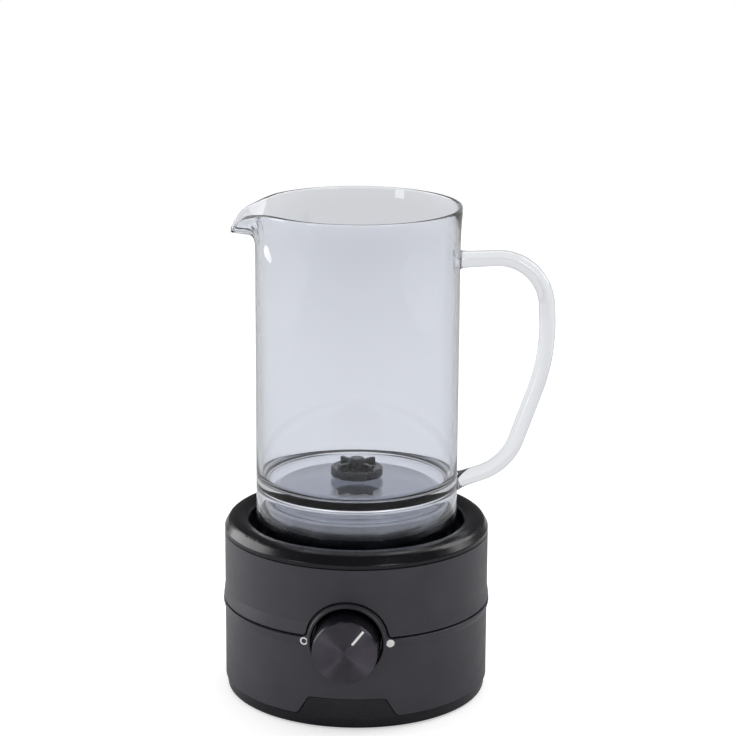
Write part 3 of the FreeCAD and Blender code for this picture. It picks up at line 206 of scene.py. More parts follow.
# %% Finishes of the shells and mouldings
finishes["graphite_shell"] = plain_finish(
    "satin_paint_on_drawn_metal", "#39383f", "#3e3d44", (0.36, 0.44), 14.0, 0.45, 0.004)
finishes["foot_plastic"] = plain_finish(
    "satin_moulded_ABS", "#131219", "#18171f", (0.22, 0.30), 9.0, 0.8, 0.002)
finishes["gloss_black"] = plain_finish(
    "mould_polished_ABS", "#09090e", "#0d0c13", (0.21, 0.28), 12.0, 3.0, 0.003)
finishes["black_plastic"] = plain_finish(
    "spark_textured_ABS", "#131317", "#19191e", (0.38, 0.5), 8.0, 0.8, 0.006)
finishes["white_plastic"] = plain_finish(
    "natural_moulded_nylon", "#d2cfc4", "#dedbd2", (0.38, 0.5), 6.0, 0.8, 0.01)
finishes["stirrer_plastic"] = plain_finish(
    "turned_black_acetal", "#121214", "#19191c", (0.2, 0.3), 4.0, 0.6, 0.005)
finishes["white_print"] = plain_finish(
    "pad_printed_white_ink", "#f6f6f4", "#fcfcfa", (0.3, 0.4), 2.0, 0.2, 0.005)
finishes["foot_rubber"] = plain_finish(
    "moulded_nitrile_rubber", "#131313", "#1d1d1c", (0.7, 0.85), 5.0, 0.5, 0.03)
finishes["cushion_silicone"] = plain_finish(
    "moulded_dark_silicone", "#1b1b1d", "#252527", (0.55, 0.65), 5.0, 0.8, 0.015,
    {"Sheen Weight": 0.15})
print(len(finishes), "finishes")

# %% [markdown]
# ## Metals and the parts inside
# Each metal shows how it was made: zinc plating mottles in small patches, ground
# shafts have fine rings, and laminations, wound wire and extruded metal have even
# lines. A metal keeps the shader's default IOR.

# %% Finishes of the metals and the electrics
finishes["screw_steel"] = plain_finish(
    "zinc_plated_steel", "#a9acb0", "#c3c5c8", (0.24, 0.36), 1.6, 0.3, 0.006, METAL)
finishes["bracket_steel"] = plain_finish(
    "galvanised_pressed_steel", "#9a9c9f", "#b7b9bc", (0.3, 0.48), 7.0, 0.8, 0.01, METAL)
finishes["motor_steel"] = plain_finish(
    "deep_drawn_nickelled_steel", "#9c9b97", "#b0afab", (0.22, 0.32), 10.0, 0.6, 0.004, METAL)
finishes["shaft_steel"] = plain_finish(
    "ground_steel", "#b2b3b5", "#c4c5c7", (0.18, 0.28), 3.0, 0.4, 0.002, METAL, (0.5, "Z"))
finishes["lamination_steel"] = plain_finish(
    "stacked_steel_laminations", "#5f5e5c", "#77767a", (0.35, 0.5), 4.0, 0.4, 0.08,
    METAL, (0.9, "Z"))
finishes["contact_brass"] = plain_finish(
    "tinned_brass", "#b7a06a", "#c9bd97", (0.25, 0.4), 1.5, 0.3, 0.006, METAL)
finishes["bush_brass"] = plain_finish(
    "sintered_bronze", "#a07a42", "#b98f55", (0.4, 0.55), 2.0, 0.35, 0.03, METAL)
finishes["copper_winding"] = plain_finish(
    "enamelled_copper_wire", "#8f4a22", "#b0632f", (0.2, 0.3), 2.0, 0.4, 0.15,
    {"Metallic": 1.0, "Coat Weight": 0.6}, (0.6, "Z"))
finishes["magnet_nickel"] = plain_finish(
    "nickel_plated_magnet", "#bdbbb4", "#cbc9c3", (0.12, 0.22), 5.0, 0.8, 0.003, METAL)
finishes["magnet_ferrite"] = plain_finish(
    "sintered_ferrite", "#2a2a2b", "#38383a", (0.55, 0.7), 2.5, 0.3, 0.02)
finishes["carbon_brush"] = plain_finish(
    "pressed_carbon", "#1f1f20", "#2e2e2f", (0.5, 0.65), 1.5, 0.25, 0.02)
finishes["capacitor_sleeve"] = plain_finish(
    "shrunk_PVC_sleeve", "#15163a", "#1d1e48", (0.25, 0.35), 5.0, 0.6, 0.01)
finishes["sink_aluminium"] = plain_finish(
    "extruded_aluminium", "#9b9ca0", "#afb0b4", (0.3, 0.42), 6.0, 0.5, 0.02, METAL, (0.5, "X"))
LEADS = {
    "grey": ("#77787a", "#868789"),
    "red": ("#a3231d", "#b52d25"),
    "blue": ("#22418f", "#2b4fa5"),
}
for colour, (darker, lighter) in LEADS.items():
    finishes["lead_" + colour] = plain_finish(
        colour + "_PVC_insulation", darker, lighter, (0.4, 0.5), 4.0, 0.5, 0.01)
print(len(finishes), "finishes")

# %% [markdown]
# ## The circuit board
# Solder resist is a clear green lacquer over copper, so tracks show through it as
# lighter lines. A brick pattern with thin joints stands for the tracks, some
# millimetres apart.

# %% Green board with tracks under its lacquer
TRACK_TILE = 10.0 * MM
material, tree = blank_finish("green_solder_resist")
place = add(tree, "TexCoord").outputs["Object"]
tracks = add(tree, "TexBrick", {
    "Vector": place, "Scale": 1.0 / TRACK_TILE, "Mortar Size": 0.03, "Mortar Smooth": 0.3,
    "Color1": linear("#0f4a2b"), "Color2": linear("#12522f"), "Mortar": linear("#2f7a48"),
})
add(tree, "OutputMaterial", {"Surface": add(tree, "BsdfPrincipled", {
    "Base Color": tracks,
    "Roughness": wander(tree, 3.0, 0.2, 0.3),
    "Normal": add(tree, "Bump", {
        "Height": tracks.outputs["Fac"], "Distance": 0.03 * MM, "Strength": 1.0,
    }),
    "Coat Weight": 0.4,
})})
finishes["board_green"] = material
print("board finish has", len(tree.nodes), "nodes")

# %% [markdown]
# ## The belt and the knob's bezel
# The belt and the bezel's lip are graphite like the sleeves. The dish inside the lip
# is the same moulding, polished, and painted near black: painted shade that stands
# for the shadow in the recess round the knob. It is one moulding, so one finish
# changes at a radius round the knob's axis. The axis runs on through the belt's far
# side, so `behind` keeps the painted shade to the front.

# %% Graphite outside the bezel's mouth, painted shade inside
MOUTH_R = 17.3 * MM
material, tree = blank_finish("satin_paint_with_painted_shade_dish")
place = add(tree, "TexCoord").outputs["Object"]
from_axis = add(tree, "VectorMath", {0: place, 1: (0.0, 0.0, KNOB_Z)}, operation="SUBTRACT")
across = add(tree, "VectorMath", {0: from_axis, 1: (1.0, 0.0, 1.0)}, operation="MULTIPLY")
radius = add(tree, "VectorMath", {0: across}, operation="LENGTH").outputs["Value"]
at_front = add(tree, "VectorMath", {
    0: place, 1: (0.0, -1.0 / MOUTH_R, 0.0),
}, operation="DOT_PRODUCT")
wide = add(tree, "Math", {0: radius, 1: MOUTH_R}, operation="GREATER_THAN")
behind = add(tree, "Math", {0: at_front.outputs["Value"], 1: 1.0}, operation="LESS_THAN")
painted = add(tree, "Math", {0: wide, 1: behind}, operation="MAXIMUM")
paint = add(tree, "Mix", {
    0: wander(tree, 14.0), MIX_A: linear("#38373e"), MIX_B: linear("#3d3c43"),
}, data_type="RGBA")
# Painted shade: inside the mouth the colour drops to near black for the recess's shadow.
colour = add(tree, "Mix", {
    0: painted, MIX_A: linear("#060609"), MIX_B: paint.outputs[MIX_RESULT],
}, data_type="RGBA")
add(tree, "OutputMaterial", {"Surface": add(tree, "BsdfPrincipled", {
    "Base Color": colour.outputs[MIX_RESULT],
    "Roughness": add(tree, "MapRange", {"Value": painted, "To Min": 0.16, "To Max": 0.36}),
    "Normal": add(tree, "Bump", {"Height": wander(tree, 0.45, detail=1.0), "Distance": 0.003 * MM}),
})})
finishes["graphite_trim"] = material
print("bezel turns black inside", round(MOUTH_R / MM, 1), "mm")

# %% [markdown]
# ## Spun and brushed metal
# The knob's face is a dark anodised disc that was faced on a lathe. Its fine rings
# pull every reflection out along the radius, which gives the bright and dark wedges.
# The shader's anisotropy does that: its tangent follows the rings, and a quarter
# turn points the stretch across them.
# The hub's cap is brushed the same way round the maker's axis. Real rings are some
# 0.05 mm apart, too fine to show, so they are drawn coarser.

# %% Faced disc and brushed cap


def turned_metal(name, colours, gloss, pitch_mm, depth_mm, axis, centre, anisotropy):
    """Metal with fine rings round an axis through centre, and reflections drawn across them."""
    material, tree = blank_finish(name)
    place = add(tree, "TexCoord").outputs["Object"]
    centred = add(tree, "VectorMath", {0: place, 1: centre}, operation="SUBTRACT")
    spin_axis = (0.0, 1.0, 0.0) if axis == "Y" else (0.0, 0.0, 1.0)
    along_rings = add(tree, "VectorMath", {0: centred, 1: spin_axis}, operation="CROSS_PRODUCT")
    tangent = add(tree, "VectorMath", {0: along_rings}, operation="NORMALIZE")
    colour = add(tree, "Mix", {
        0: wander(tree, 6.0), MIX_A: linear(colours[0]), MIX_B: linear(colours[1]),
    }, data_type="RGBA")
    relief = stripes(tree, pitch_mm, axis, centre, rings=True)
    add(tree, "OutputMaterial", {"Surface": add(tree, "BsdfPrincipled", {
        "Base Color": colour.outputs[MIX_RESULT],
        "Metallic": 1.0,
        "Roughness": wander(tree, 4.0, *gloss),
        "Anisotropic": anisotropy,
        "Anisotropic Rotation": 0.25,
        "Tangent": tangent,
        "Normal": add(tree, "Bump", {"Height": relief, "Distance": depth_mm * MM, "Strength": 1.0}),
    })})
    return material


finishes["spun_aluminium"] = turned_metal(
    "faced_dark_anodised_aluminium", ("#5d5a62", "#65626a"), (0.38, 0.42), 0.5, 0.0005,
    "Y", (0.0, 0.0, KNOB_Z), 0.95)
finishes["dark_metal_cap"] = turned_metal(
    "brushed_steel_cap", ("#a2a4ab", "#adafb6"), (0.10, 0.14), 0.6, 0.0005,
    "Z", (0.0, 0.0, 0.0), 0.6)
print("turned metals ready")

# %% [markdown]
# ## Glass
# Borosilicate glass is clear, and its edges look grey where the eye looks along the
# wall. Layer Weight gives how much a face is turned away. Face on, the tint is the
# glass's own faint colour. Turned away, it darkens: painted shade for those grey
# edges. The handle is a solid rod, so its painted edge shade is deeper.
# A blown or fire-polished face is as sharp as a mirror, so its roughness is next to
# nothing. Glass also lets nearly all light reach the table, so shadow rays see a
# transparent wall in place of a dark one.

# %% Clear blown wall and thicker drawn rod


EDGE_SHADE_POWER = 3.0


def clear_glass(name, face_on, edge_shade_tint, ripple_mm):
    """Clear finish tinted face on, with painted edge shade where it turns edge on; ripples are
    ripple_mm wide.
    """
    material, tree = blank_finish(name)
    turned_away = add(tree, "LayerWeight", {"Blend": 0.5}).outputs["Facing"]
    # Painted shade: the tint darkens as the face turns away from view.
    edge_shade = add(tree, "Math", {0: turned_away, 1: EDGE_SHADE_POWER}, operation="POWER")
    tone = add(tree, "Mix", {
        0: edge_shade, MIX_A: linear(face_on), MIX_B: linear(edge_shade_tint),
    }, data_type="RGBA")
    body = add(tree, "BsdfPrincipled", {
        "Base Color": tone.outputs[MIX_RESULT],
        "Roughness": wander(tree, 30.0, 0.0, 0.003),
        "IOR": 1.47,
        "Transmission Weight": 1.0,
        "Normal": add(tree, "Bump", {
            "Height": wander(tree, ripple_mm), "Distance": 0.02 * MM, "Strength": 1.0,
        }),
    })
    open_wall = add(tree, "BsdfTransparent", {"Color": linear("#eef1f5")})
    in_shadow = add(tree, "LightPath").outputs["Is Shadow Ray"]
    wall = add(tree, "MixShader", {0: in_shadow, 1: body, 2: open_wall})
    add(tree, "OutputMaterial", {"Surface": wall})
    return material


# The second colour of each is painted edge shade: faint on the jug, deep on the rod.
finishes["clear_glass"] = clear_glass("blown_borosilicate_glass", "#f4f6fb", "#eceff5", 25.0)
finishes["glass_rod"] = clear_glass("drawn_borosilicate_rod", "#f4f6fa", "#8a919c", 12.0)
print(len(finishes), "finishes in all")

# %% [markdown]
# ## Finish the CAD nodes
# The record says which finish each node takes, so a loop over it dresses them all.

# %% Give every node its finish
slot_of = {part["node"]: part["material_slot"] for part in frame["record"]["subparts"]}
for name, node in nodes.items():
    node.data.materials.clear()
    node.data.materials.append(finishes[slot_of[name]])
print(len(slot_of), "nodes finished")

# %% [markdown]
# ## Closed skins from rings
# A turned or blown form is a stack of rings of points with faces between them. A
# ring of one point closes an end. After the faces are made, their normals are
# worked out again so that all point outwards.

# %% Skin a stack of rings
# An edge that bends by more than this stays sharp.
SHARP_EDGE = math.radians(40.0)


def skin(name, rings, finish):
    """Closed smooth piece over a stack of rings of points in metres."""
    mesh = bmesh.new()
    stack = [[mesh.verts.new(point) for point in ring] for ring in rings]
    for near, far in zip(stack, stack[1:]):
        count = max(len(near), len(far))
        for i in range(count):
            j = (i + 1) % count
            if len(near) == 1:
                mesh.faces.new((near[0], far[j], far[i]))
            elif len(far) == 1:
                mesh.faces.new((near[i], near[j], far[0]))
            else:
                mesh.faces.new((near[i], near[j], far[j], far[i]))
    bmesh.ops.recalc_face_normals(mesh, faces=mesh.faces)
    data = bpy.data.meshes.new(name)
    mesh.to_mesh(data)
    mesh.free()
    data.shade_smooth()
    data.set_sharp_from_angle(angle=SHARP_EDGE)
    data.materials.append(finish)
    piece = bpy.data.objects.new(name, data)
    bpy.context.scene.collection.objects.link(piece)
    print(name, len(data.polygons), "faces")
    return piece


def corner_arc(centre_r, centre_z, radius, start, end, steps):
    """(r, z) points on an arc, from a start to an end angle in degrees."""
    angles = [math.radians(start + (end - start) * i / steps) for i in range(steps + 1)]
    return [(centre_r + radius * math.cos(a), centre_z + radius * math.sin(a)) for a in angles]


def circle_rings(profile, sides):
    """Rings in metres round the Z axis from (r, z) points in mm."""
    rings = []
    for r, z in profile:
        if r < 1e-6:
            rings.append([Vector((0.0, 0.0, z * MM))])
            continue
        angles = [math.tau * i / sides for i in range(sides)]
        rings.append([Vector((r * math.cos(a) * MM, r * math.sin(a) * MM, z * MM)) for a in angles])
    return rings


print("stacks of rings can be skinned")

# %% [markdown]
# ## The jug's rim and spout
# The spout was pulled outwards while the glass was soft. Each column of the wall
# bends out on one smooth curve, most at the middle of the spout. The table gives,
# for an angle away from the middle, the rim's radius and how far it drops. Between
# its lines the values follow a smooth cubic. The curve of a column has four control
# points: the first two stand on the straight wall, and the last two set how the lip
# leans at the rim. `pull` is 1 at the spout's middle and 0 where the spout ends.

# %% Shape of the spout, column by column
# Degrees from the spout's middle, the rim's radius and its drop in mm.
SPOUT_RIM = [
    (0.0, 61.0, 12.0),
    (3.0, 61.1, 11.8),
    (6.0, 60.2, 9.6),
    (10.0, 56.9, 4.8),
    (15.0, 54.2, 2.7),
    (21.0, 51.9, 1.5),
    (30.0, 50.4, 0.4),
    (42.0, 50.2, 0.0),
]
SPOUT_ANGLE = SPOUT_RIM[-1][0]
SPOUT_DEPTH = 24.0
SPOUT_ROWS = 26
LIP_WALL = 1.8
LIP_LEAN = math.radians(90.0)
# How far under the rim the second control point lies, and how far the third stands
# back from the rim, both in mm: where the spout ends, and what its middle adds.
SECOND_POINT, SECOND_POINT_MORE = 9.0, 2.3
THIRD_POINT, THIRD_POINT_MORE = 4.0, 6.3


def between_lines(angle, column):
    """Smooth value from the table, level at both of its ends."""
    angles = [line[0] for line in SPOUT_RIM]
    values = [line[column] for line in SPOUT_RIM]
    last = len(angles) - 1
    slopes = [0.0] * (last + 1)
    for i in range(1, last):
        before = (values[i] - values[i - 1]) / (angles[i] - angles[i - 1])
        after = (values[i + 1] - values[i]) / (angles[i + 1] - angles[i])
        slopes[i] = 2 * before * after / (before + after) if before * after > 0 else 0.0
    i = max(k for k in range(last) if angles[k] <= angle)
    width = angles[i + 1] - angles[i]
    t = (angle - angles[i]) / width
    return (values[i] * (1 + 2 * t) * (1 - t) ** 2 + slopes[i] * width * t * (1 - t) ** 2
            + values[i + 1] * t * t * (3 - 2 * t) - slopes[i + 1] * width * t * t * (1 - t))


def wall_column(angle):
    """(r, z) points in mm up the outside of the wall, from under the spout to the rim."""
    away = min(abs(angle), SPOUT_ANGLE - 1e-6)
    pull = 1.0 - away / SPOUT_ANGLE
    lean = LIP_LEAN * pull ** 2
    end_r = between_lines(away, 1) - LIP_WALL / 2 * (1 - math.cos(lean))
    end_z = -between_lines(away, 2) - LIP_WALL / 2 * (math.cos(lean) + math.sin(lean))
    reach = THIRD_POINT + THIRD_POINT_MORE * pull
    first = (JUG_R / MM, -SPOUT_DEPTH)
    second = (JUG_R / MM, -SECOND_POINT - SECOND_POINT_MORE * pull)
    third = (end_r - reach * math.sin(lean), end_z - reach * math.cos(lean))
    points = []
    for row in range(SPOUT_ROWS + 1):
        t = row / SPOUT_ROWS
        weights = ((1 - t) ** 3, 3 * t * (1 - t) ** 2, 3 * t * t * (1 - t), t ** 3)
        controls = (first, second, third, (end_r, end_z))
        points.append(tuple(sum(w * c[k] for w, c in zip(weights, controls)) for k in (0, 1)))
    return points


print("rim at the spout's tip", [round(v, 2) for v in wall_column(0.0)[-1]])

# %% [markdown]
# ## The jug's wall as a grid
# Columns stand close together at the spout and wider round the back. The inside is
# the outside moved along its own normal by the wall's thickness, which thins a
# little at the lip. A half circle joins the two over the rim, as fire-polished
# glass has it.

# %% Grid of the outside, the rim and the inside
SPOUT_COLUMNS = 26
BACK_COLUMNS = 76
SPREAD = 1.3
RIM_ROWS = 9
near_columns = [SPOUT_ANGLE * (i / SPOUT_COLUMNS) ** SPREAD for i in range(SPOUT_COLUMNS + 1)]
far_columns = [SPOUT_ANGLE + (180 - SPOUT_ANGLE) * i / BACK_COLUMNS
               for i in range(1, BACK_COLUMNS + 1)]
half_turn = near_columns + far_columns
columns = half_turn + [-angle for angle in reversed(half_turn[1:-1])]


def on_column(angle, r, z):
    """Point in metres at a radius and a height below the rim, both in mm."""
    turn = math.radians(angle) + JUG_TURN
    return Vector((-r * math.cos(turn) * MM, -r * math.sin(turn) * MM, RIM_Z + z * MM))


outside = [[on_column(angle, r, z) for r, z in wall_column(angle)] for angle in columns]
count = len(columns)
inside = []
rim_rows = [[] for _ in range(RIM_ROWS)]
for i, column in enumerate(outside):
    inner = []
    for row, point in enumerate(column):
        across = outside[(i + 1) % count][row] - outside[i - 1][row]
        up = column[min(row + 1, SPOUT_ROWS)] - column[max(row - 1, 0)]
        normal = up.cross(across).normalized()
        thickness = JUG_WALL + (LIP_WALL * MM - JUG_WALL) * (row / SPOUT_ROWS) ** 2
        inner.append(point + normal * thickness)
    inside.append(inner)
    middle = (column[-1] + inner[-1]) / 2
    outwards = column[-1] - middle
    upwards = (column[-1] - column[-2]).normalized() * outwards.length
    for step, row in enumerate(rim_rows):
        turn = math.pi * (step + 1) / (RIM_ROWS + 1)
        row.append(middle + outwards * math.cos(turn) + upwards * math.sin(turn))
first_inside = (inside[0][0].xy.length, inside[count // 2][0].xy.length)
print(count, "columns; inside radius", [round(r / MM, 2) for r in first_inside])

# %% [markdown]
# ## The jug's foot and floor
# Under the spout the jug is a plain turned form: a ring foot, a hollow that clears
# the hub, and a floor with rounded corners above and below. The rings run from the
# middle of the hollow, out round the foot, up the wall, over the rim, and down the
# inside to the middle of the floor.

# %% Stack the rings and skin the jug
# Heights above the foot and rounding radii, in mm, and where rings cross the wall.
FLOOR_UNDER = 34.7
FLOOR_TOP = 37.8
HOLLOW_ROUND = 3.0
FOOT_IN_ROUND = 0.6
FOOT_OUT_ROUND = 0.8
FLOOR_ROUND = 5.0
WALL_SHARES = (0.08, 0.25, 0.5, 0.75, 0.95)
foot = (JUG_FOOT - RIM_Z) / MM
wall_r = JUG_R / MM
bore_r = (JUG_R - JUG_WALL) / MM

hollow = [(r, foot + FLOOR_UNDER) for r in (8.0, 20.0, 32.0, 40.0)]
hollow += corner_arc(bore_r - HOLLOW_ROUND, foot + FLOOR_UNDER - HOLLOW_ROUND, HOLLOW_ROUND,
                     90, 0, 8)
hollow += corner_arc(bore_r + FOOT_IN_ROUND, foot + FOOT_IN_ROUND, FOOT_IN_ROUND, 180, 270, 4)
hollow += corner_arc(wall_r - FOOT_OUT_ROUND, foot + FOOT_OUT_ROUND, FOOT_OUT_ROUND, 270, 360, 5)
hollow += [(wall_r, foot + (-SPOUT_DEPTH - foot) * t) for t in WALL_SHARES]
floor = [(bore_r, foot + FLOOR_TOP + FLOOR_ROUND
          + (-SPOUT_DEPTH - foot - FLOOR_TOP - FLOOR_ROUND) * t) for t in reversed(WALL_SHARES)]
floor += corner_arc(bore_r - FLOOR_ROUND, foot + FLOOR_TOP + FLOOR_ROUND, FLOOR_ROUND, 0, -90, 10)
floor += [(r, foot + FLOOR_TOP) for r in (34.0, 24.0, 8.0)]

rings = [[on_column(0.0, 0.0, foot + FLOOR_UNDER)]]
rings += [[on_column(angle, r, z) for angle in columns] for r, z in hollow]
rings += [[column[row] for column in outside] for row in range(SPOUT_ROWS + 1)]
rings += rim_rows
rings += [[column[row] for column in inside] for row in reversed(range(SPOUT_ROWS + 1))]
rings += [[on_column(angle, r, z) for angle in columns] for r, z in floor]
rings += [[on_column(0.0, 0.0, foot + FLOOR_TOP)]]

jug = skin("blown_jug", rings, finishes["clear_glass"])
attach(jug, "jug")
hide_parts("jug_glass")

# %% [markdown]
# ## Geometry Nodes, built and applied in one place
# A rod that follows a path and parts that repeat round an axis suit Geometry Nodes:
# the tree says the rule and named inputs carry the sizes. `node_group` makes an
# empty tree with such inputs, and `apply_tree` runs it on an object and keeps the
# result as a plain mesh.

# %% Make and apply a geometry tree
SOCKETS = {
    "number": "NodeSocketFloat", "count": "NodeSocketInt",
    "finish": "NodeSocketMaterial", "piece": "NodeSocketObject",
}


def node_group(name, sizes):
    """Empty tree whose inputs are the piece and the named sizes."""
    tree = bpy.data.node_groups.new(name, "GeometryNodeTree")
    tree.interface.new_socket("Piece", in_out="INPUT", socket_type="NodeSocketGeometry")
    for size, kind in sizes.items():
        tree.interface.new_socket(size, in_out="INPUT", socket_type=SOCKETS[kind])
    tree.interface.new_socket("Result", in_out="OUTPUT", socket_type="NodeSocketGeometry")
    return tree, add(tree, "NodeGroupInput").outputs


def end_tree(tree, shape, finish):
    """Every tree ends with real geometry that has its finish."""
    real = add(tree, "GeometryNodeRealizeInstances", {0: shape})
    painted = add(tree, "GeometryNodeSetMaterial", {"Geometry": real, "Material": finish})
    add(tree, "NodeGroupOutput", {0: painted})


def apply_tree(piece, tree, values, name):
    """Plain mesh object made by a tree from a piece and the values of its inputs."""
    bpy.context.scene.collection.objects.link(piece)
    modifier = piece.modifiers.new("shape", "NODES")
    modifier.node_group = tree
    for socket in tree.interface.items_tree:
        if socket.in_out == "INPUT" and socket.name in values:
            modifier[socket.identifier] = values[socket.name]
    evaluated = piece.evaluated_get(bpy.context.evaluated_depsgraph_get())
    data = bpy.data.meshes.new_from_object(evaluated)
    piece.modifiers.remove(modifier)
    bpy.data.objects.remove(piece)
    result = bpy.data.objects.new(name, data)
    bpy.context.scene.collection.objects.link(result)
    print(name, len(data.polygons), "faces")
    return result


print("geometry trees can be made")

# %% [markdown]
# ## The handle
# The handle is a solid glass rod, bent while hot and fused to the wall, where it
# swells a little. Its centre line is five points, and each point's radius says how
# wide its bend is. The tree rounds the corners, spaces points evenly, swells the
# radius near both ends and sweeps a circle along the line.

# %% Tree that sweeps the rod
BEND_STEPS = 40
POINT_SPACING = 0.8 * MM
tree, given = node_group("bent_rod", {
    "Rod radius": "number", "Swelling": "number", "Swelling length": "number",
    "Sides": "count", "Finish": "finish",
})
bent = add(tree, "GeometryNodeFilletCurve", {
    "Curve": given["Piece"], "Radius": add(tree, "GeometryNodeInputRadius"), "Count": BEND_STEPS,
}, mode="POLY")
even = add(tree, "GeometryNodeResampleCurve", {
    "Curve": bent, "Length": POINT_SPACING,
}, mode="LENGTH")
along = add(tree, "GeometryNodeSplineParameter").outputs["Length"]
whole = add(tree, "GeometryNodeSplineLength").outputs["Length"]
left = add(tree, "Math", {0: whole, 1: along}, operation="SUBTRACT")
from_end = add(tree, "Math", {0: along, 1: left}, operation="MINIMUM")
decay = add(tree, "Math", {0: from_end, 1: given["Swelling length"]}, operation="DIVIDE")
falling = add(tree, "Math", {0: decay, 1: -1.0}, operation="MULTIPLY")
fading = add(tree, "Math", {0: math.e, 1: falling}, operation="POWER")
swollen = add(tree, "Math", {0: fading, 1: given["Swelling"]}, operation="MULTIPLY")
radius = add(tree, "Math", {0: swollen, 1: given["Rod radius"]}, operation="ADD")
circle = add(tree, "GeometryNodeCurvePrimitiveCircle", {
    "Resolution": given["Sides"], "Radius": 1.0,
})
swept = add(tree, "GeometryNodeCurveToMesh", {
    "Curve": even, "Profile Curve": circle.outputs["Curve"], "Scale": radius, "Fill Caps": True,
})
end_tree(tree, add(tree, "GeometryNodeSetShadeSmooth", {0: swept}), given["Finish"])
rod_tree = tree
print("rod tree has", len(tree.nodes), "nodes")

# %% [markdown]
# ## The handle's line
# The line starts and ends inside the wall, and the points that lie inside the jug
# are then moved out to its surface, so that each end fits the round wall. Last the
# mesh turns with the jug.

# %% Bend the handle
# Millimetres out from the wall, up from the foot, and the bend's radius.
HANDLE = [
    (-2.0, 146.4, 0.0),
    (40.8, 148.2, 24.4),
    (44.12, 99.5, 96.0),
    (24.2, 43.2, 28.0),
    (-2.0, 34.7, 0.0),
]
line = bpy.data.curves.new("handle_line", "CURVE")
line.dimensions = "3D"
spline = line.splines.new("POLY")
spline.points.add(len(HANDLE) - 1)
for point, (out, height, bend) in zip(spline.points, HANDLE):
    point.co = (JUG_R + out * MM, 0.0, JUG_FOOT + height * MM, 1.0)
    point.radius = bend * MM
handle = apply_tree(bpy.data.objects.new("handle_line", line), rod_tree, {
    "Rod radius": 4.0 * MM, "Swelling": 1.6 * MM, "Swelling length": 2.2 * MM,
    "Sides": 48, "Finish": finishes["glass_rod"],
}, "bent_glass_handle")
WALL_FACE = JUG_R + 0.02 * MM
for vertex in handle.data.vertices:
    if vertex.co.xy.length < WALL_FACE:
        vertex.co.x = math.sqrt(WALL_FACE ** 2 - vertex.co.y ** 2)
handle.data.transform(Matrix.Rotation(JUG_TURN, 4, "Z"))
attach(handle, "jug")
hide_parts("jug_handle")
handle_top = max(vertex.co.z for vertex in handle.data.vertices)
print("handle reaches", round(handle_top / MM, 1), "mm up")

# %% [markdown]
# ## Parts repeated round an axis
# The bottom plate is held by four screws that stand evenly round the axis. A tree
# puts copies of a part on the points of a circle and turns each to face outwards.

# %% Tree that repeats a part round the axis
tree, given = node_group("round_the_axis", {
    "Count": "count", "Pitch radius": "number", "Height": "number", "First angle": "number",
    "Part": "piece", "Finish": "finish",
})
spots = add(tree, "GeometryNodeMeshCircle", {
    "Vertices": given["Count"], "Radius": given["Pitch radius"],
})
placed = add(tree, "GeometryNodeTransform", {
    "Geometry": spots,
    "Translation": add(tree, "CombineXYZ", {"Z": given["Height"]}),
    "Rotation": add(tree, "CombineXYZ", {"Z": given["First angle"]}),
})
part = add(tree, "GeometryNodeObjectInfo", {"Object": given["Part"]})
step = add(tree, "Math", {0: math.tau, 1: given["Count"]}, operation="DIVIDE")
turn = add(tree, "Math", {
    0: add(tree, "GeometryNodeInputIndex"), 1: step, 2: given["First angle"],
}, operation="MULTIPLY_ADD")
copies = add(tree, "GeometryNodeInstanceOnPoints", {
    "Points": placed, "Instance": part.outputs["Geometry"],
    "Rotation": add(tree, "CombineXYZ", {"Z": turn}),
})
end_tree(tree, copies, given["Finish"])
ring_tree = tree
print("ring tree has", len(tree.nodes), "nodes")

# %% [markdown]
# ## Bottom screws
# A pan-head screw has a low head with a rounded edge and a cross recess. The head
# and shank are skinned from rings. The cross is cut by a boolean with two bars that
# cross each other, which leaves the crisp walls of a driven recess.

# %% One screw, then four round the base
# All in mm. Half of the bars' height lies inside the head.
HEAD_R = 2.8
HEAD_H = 1.7
HEAD_ROUND = 0.7
SHANK_R = 1.5
SHANK_L = 10.0
TIP_CHAMFER = 0.6
BAR_LENGTH, BAR_WIDTH, BAR_HEIGHT = 3.6, 0.7, 1.8
PITCH_R = 57.0
RECESS_SHARP_EDGE = math.radians(35.0)

head = [(0.0, 0.0), (HEAD_R / 2, 0.0)]
head += corner_arc(HEAD_R - HEAD_ROUND, HEAD_ROUND, HEAD_ROUND, 270, 360, 8)
head += [(HEAD_R, HEAD_H), (SHANK_R, HEAD_H), (SHANK_R, HEAD_H + SHANK_L - TIP_CHAMFER),
         (SHANK_R - TIP_CHAMFER, HEAD_H + SHANK_L), (0.0, HEAD_H + SHANK_L)]
screw = skin("screw", circle_rings(head, 40), finishes["screw_steel"])
cross = bmesh.new()
for wide, deep in ((BAR_LENGTH, BAR_WIDTH), (BAR_WIDTH, BAR_LENGTH)):
    size = Matrix.Diagonal((wide * MM, deep * MM, BAR_HEIGHT * MM, 1.0))
    bmesh.ops.create_cube(cross, size=1.0, matrix=size)
cross_data = bpy.data.meshes.new("cross")
cross.to_mesh(cross_data)
cross.free()
cross_block = bpy.data.objects.new("cross", cross_data)
bpy.context.scene.collection.objects.link(cross_block)
recess = screw.modifiers.new("recess", "BOOLEAN")
recess.object = cross_block
recess.use_self = True  # The two bars overlap, so they are joined first.
cut = bpy.data.meshes.new_from_object(screw.evaluated_get(bpy.context.evaluated_depsgraph_get()))
screw.modifiers.remove(recess)
bpy.data.objects.remove(cross_block)
screw.data = cut
cut.set_sharp_from_angle(angle=RECESS_SHARP_EDGE)

screws = apply_tree(bpy.data.objects.new("screw_ring", bpy.data.meshes.new("empty")), ring_tree, {
    "Count": 4, "Pitch radius": PITCH_R * MM, "Height": low("bottom_screws").z,
    "First angle": math.radians(45.0), "Part": screw, "Finish": finishes["screw_steel"],
}, "pan_head_screws")
bpy.data.objects.remove(screw)
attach(screws, "base")
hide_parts("bottom_screws")

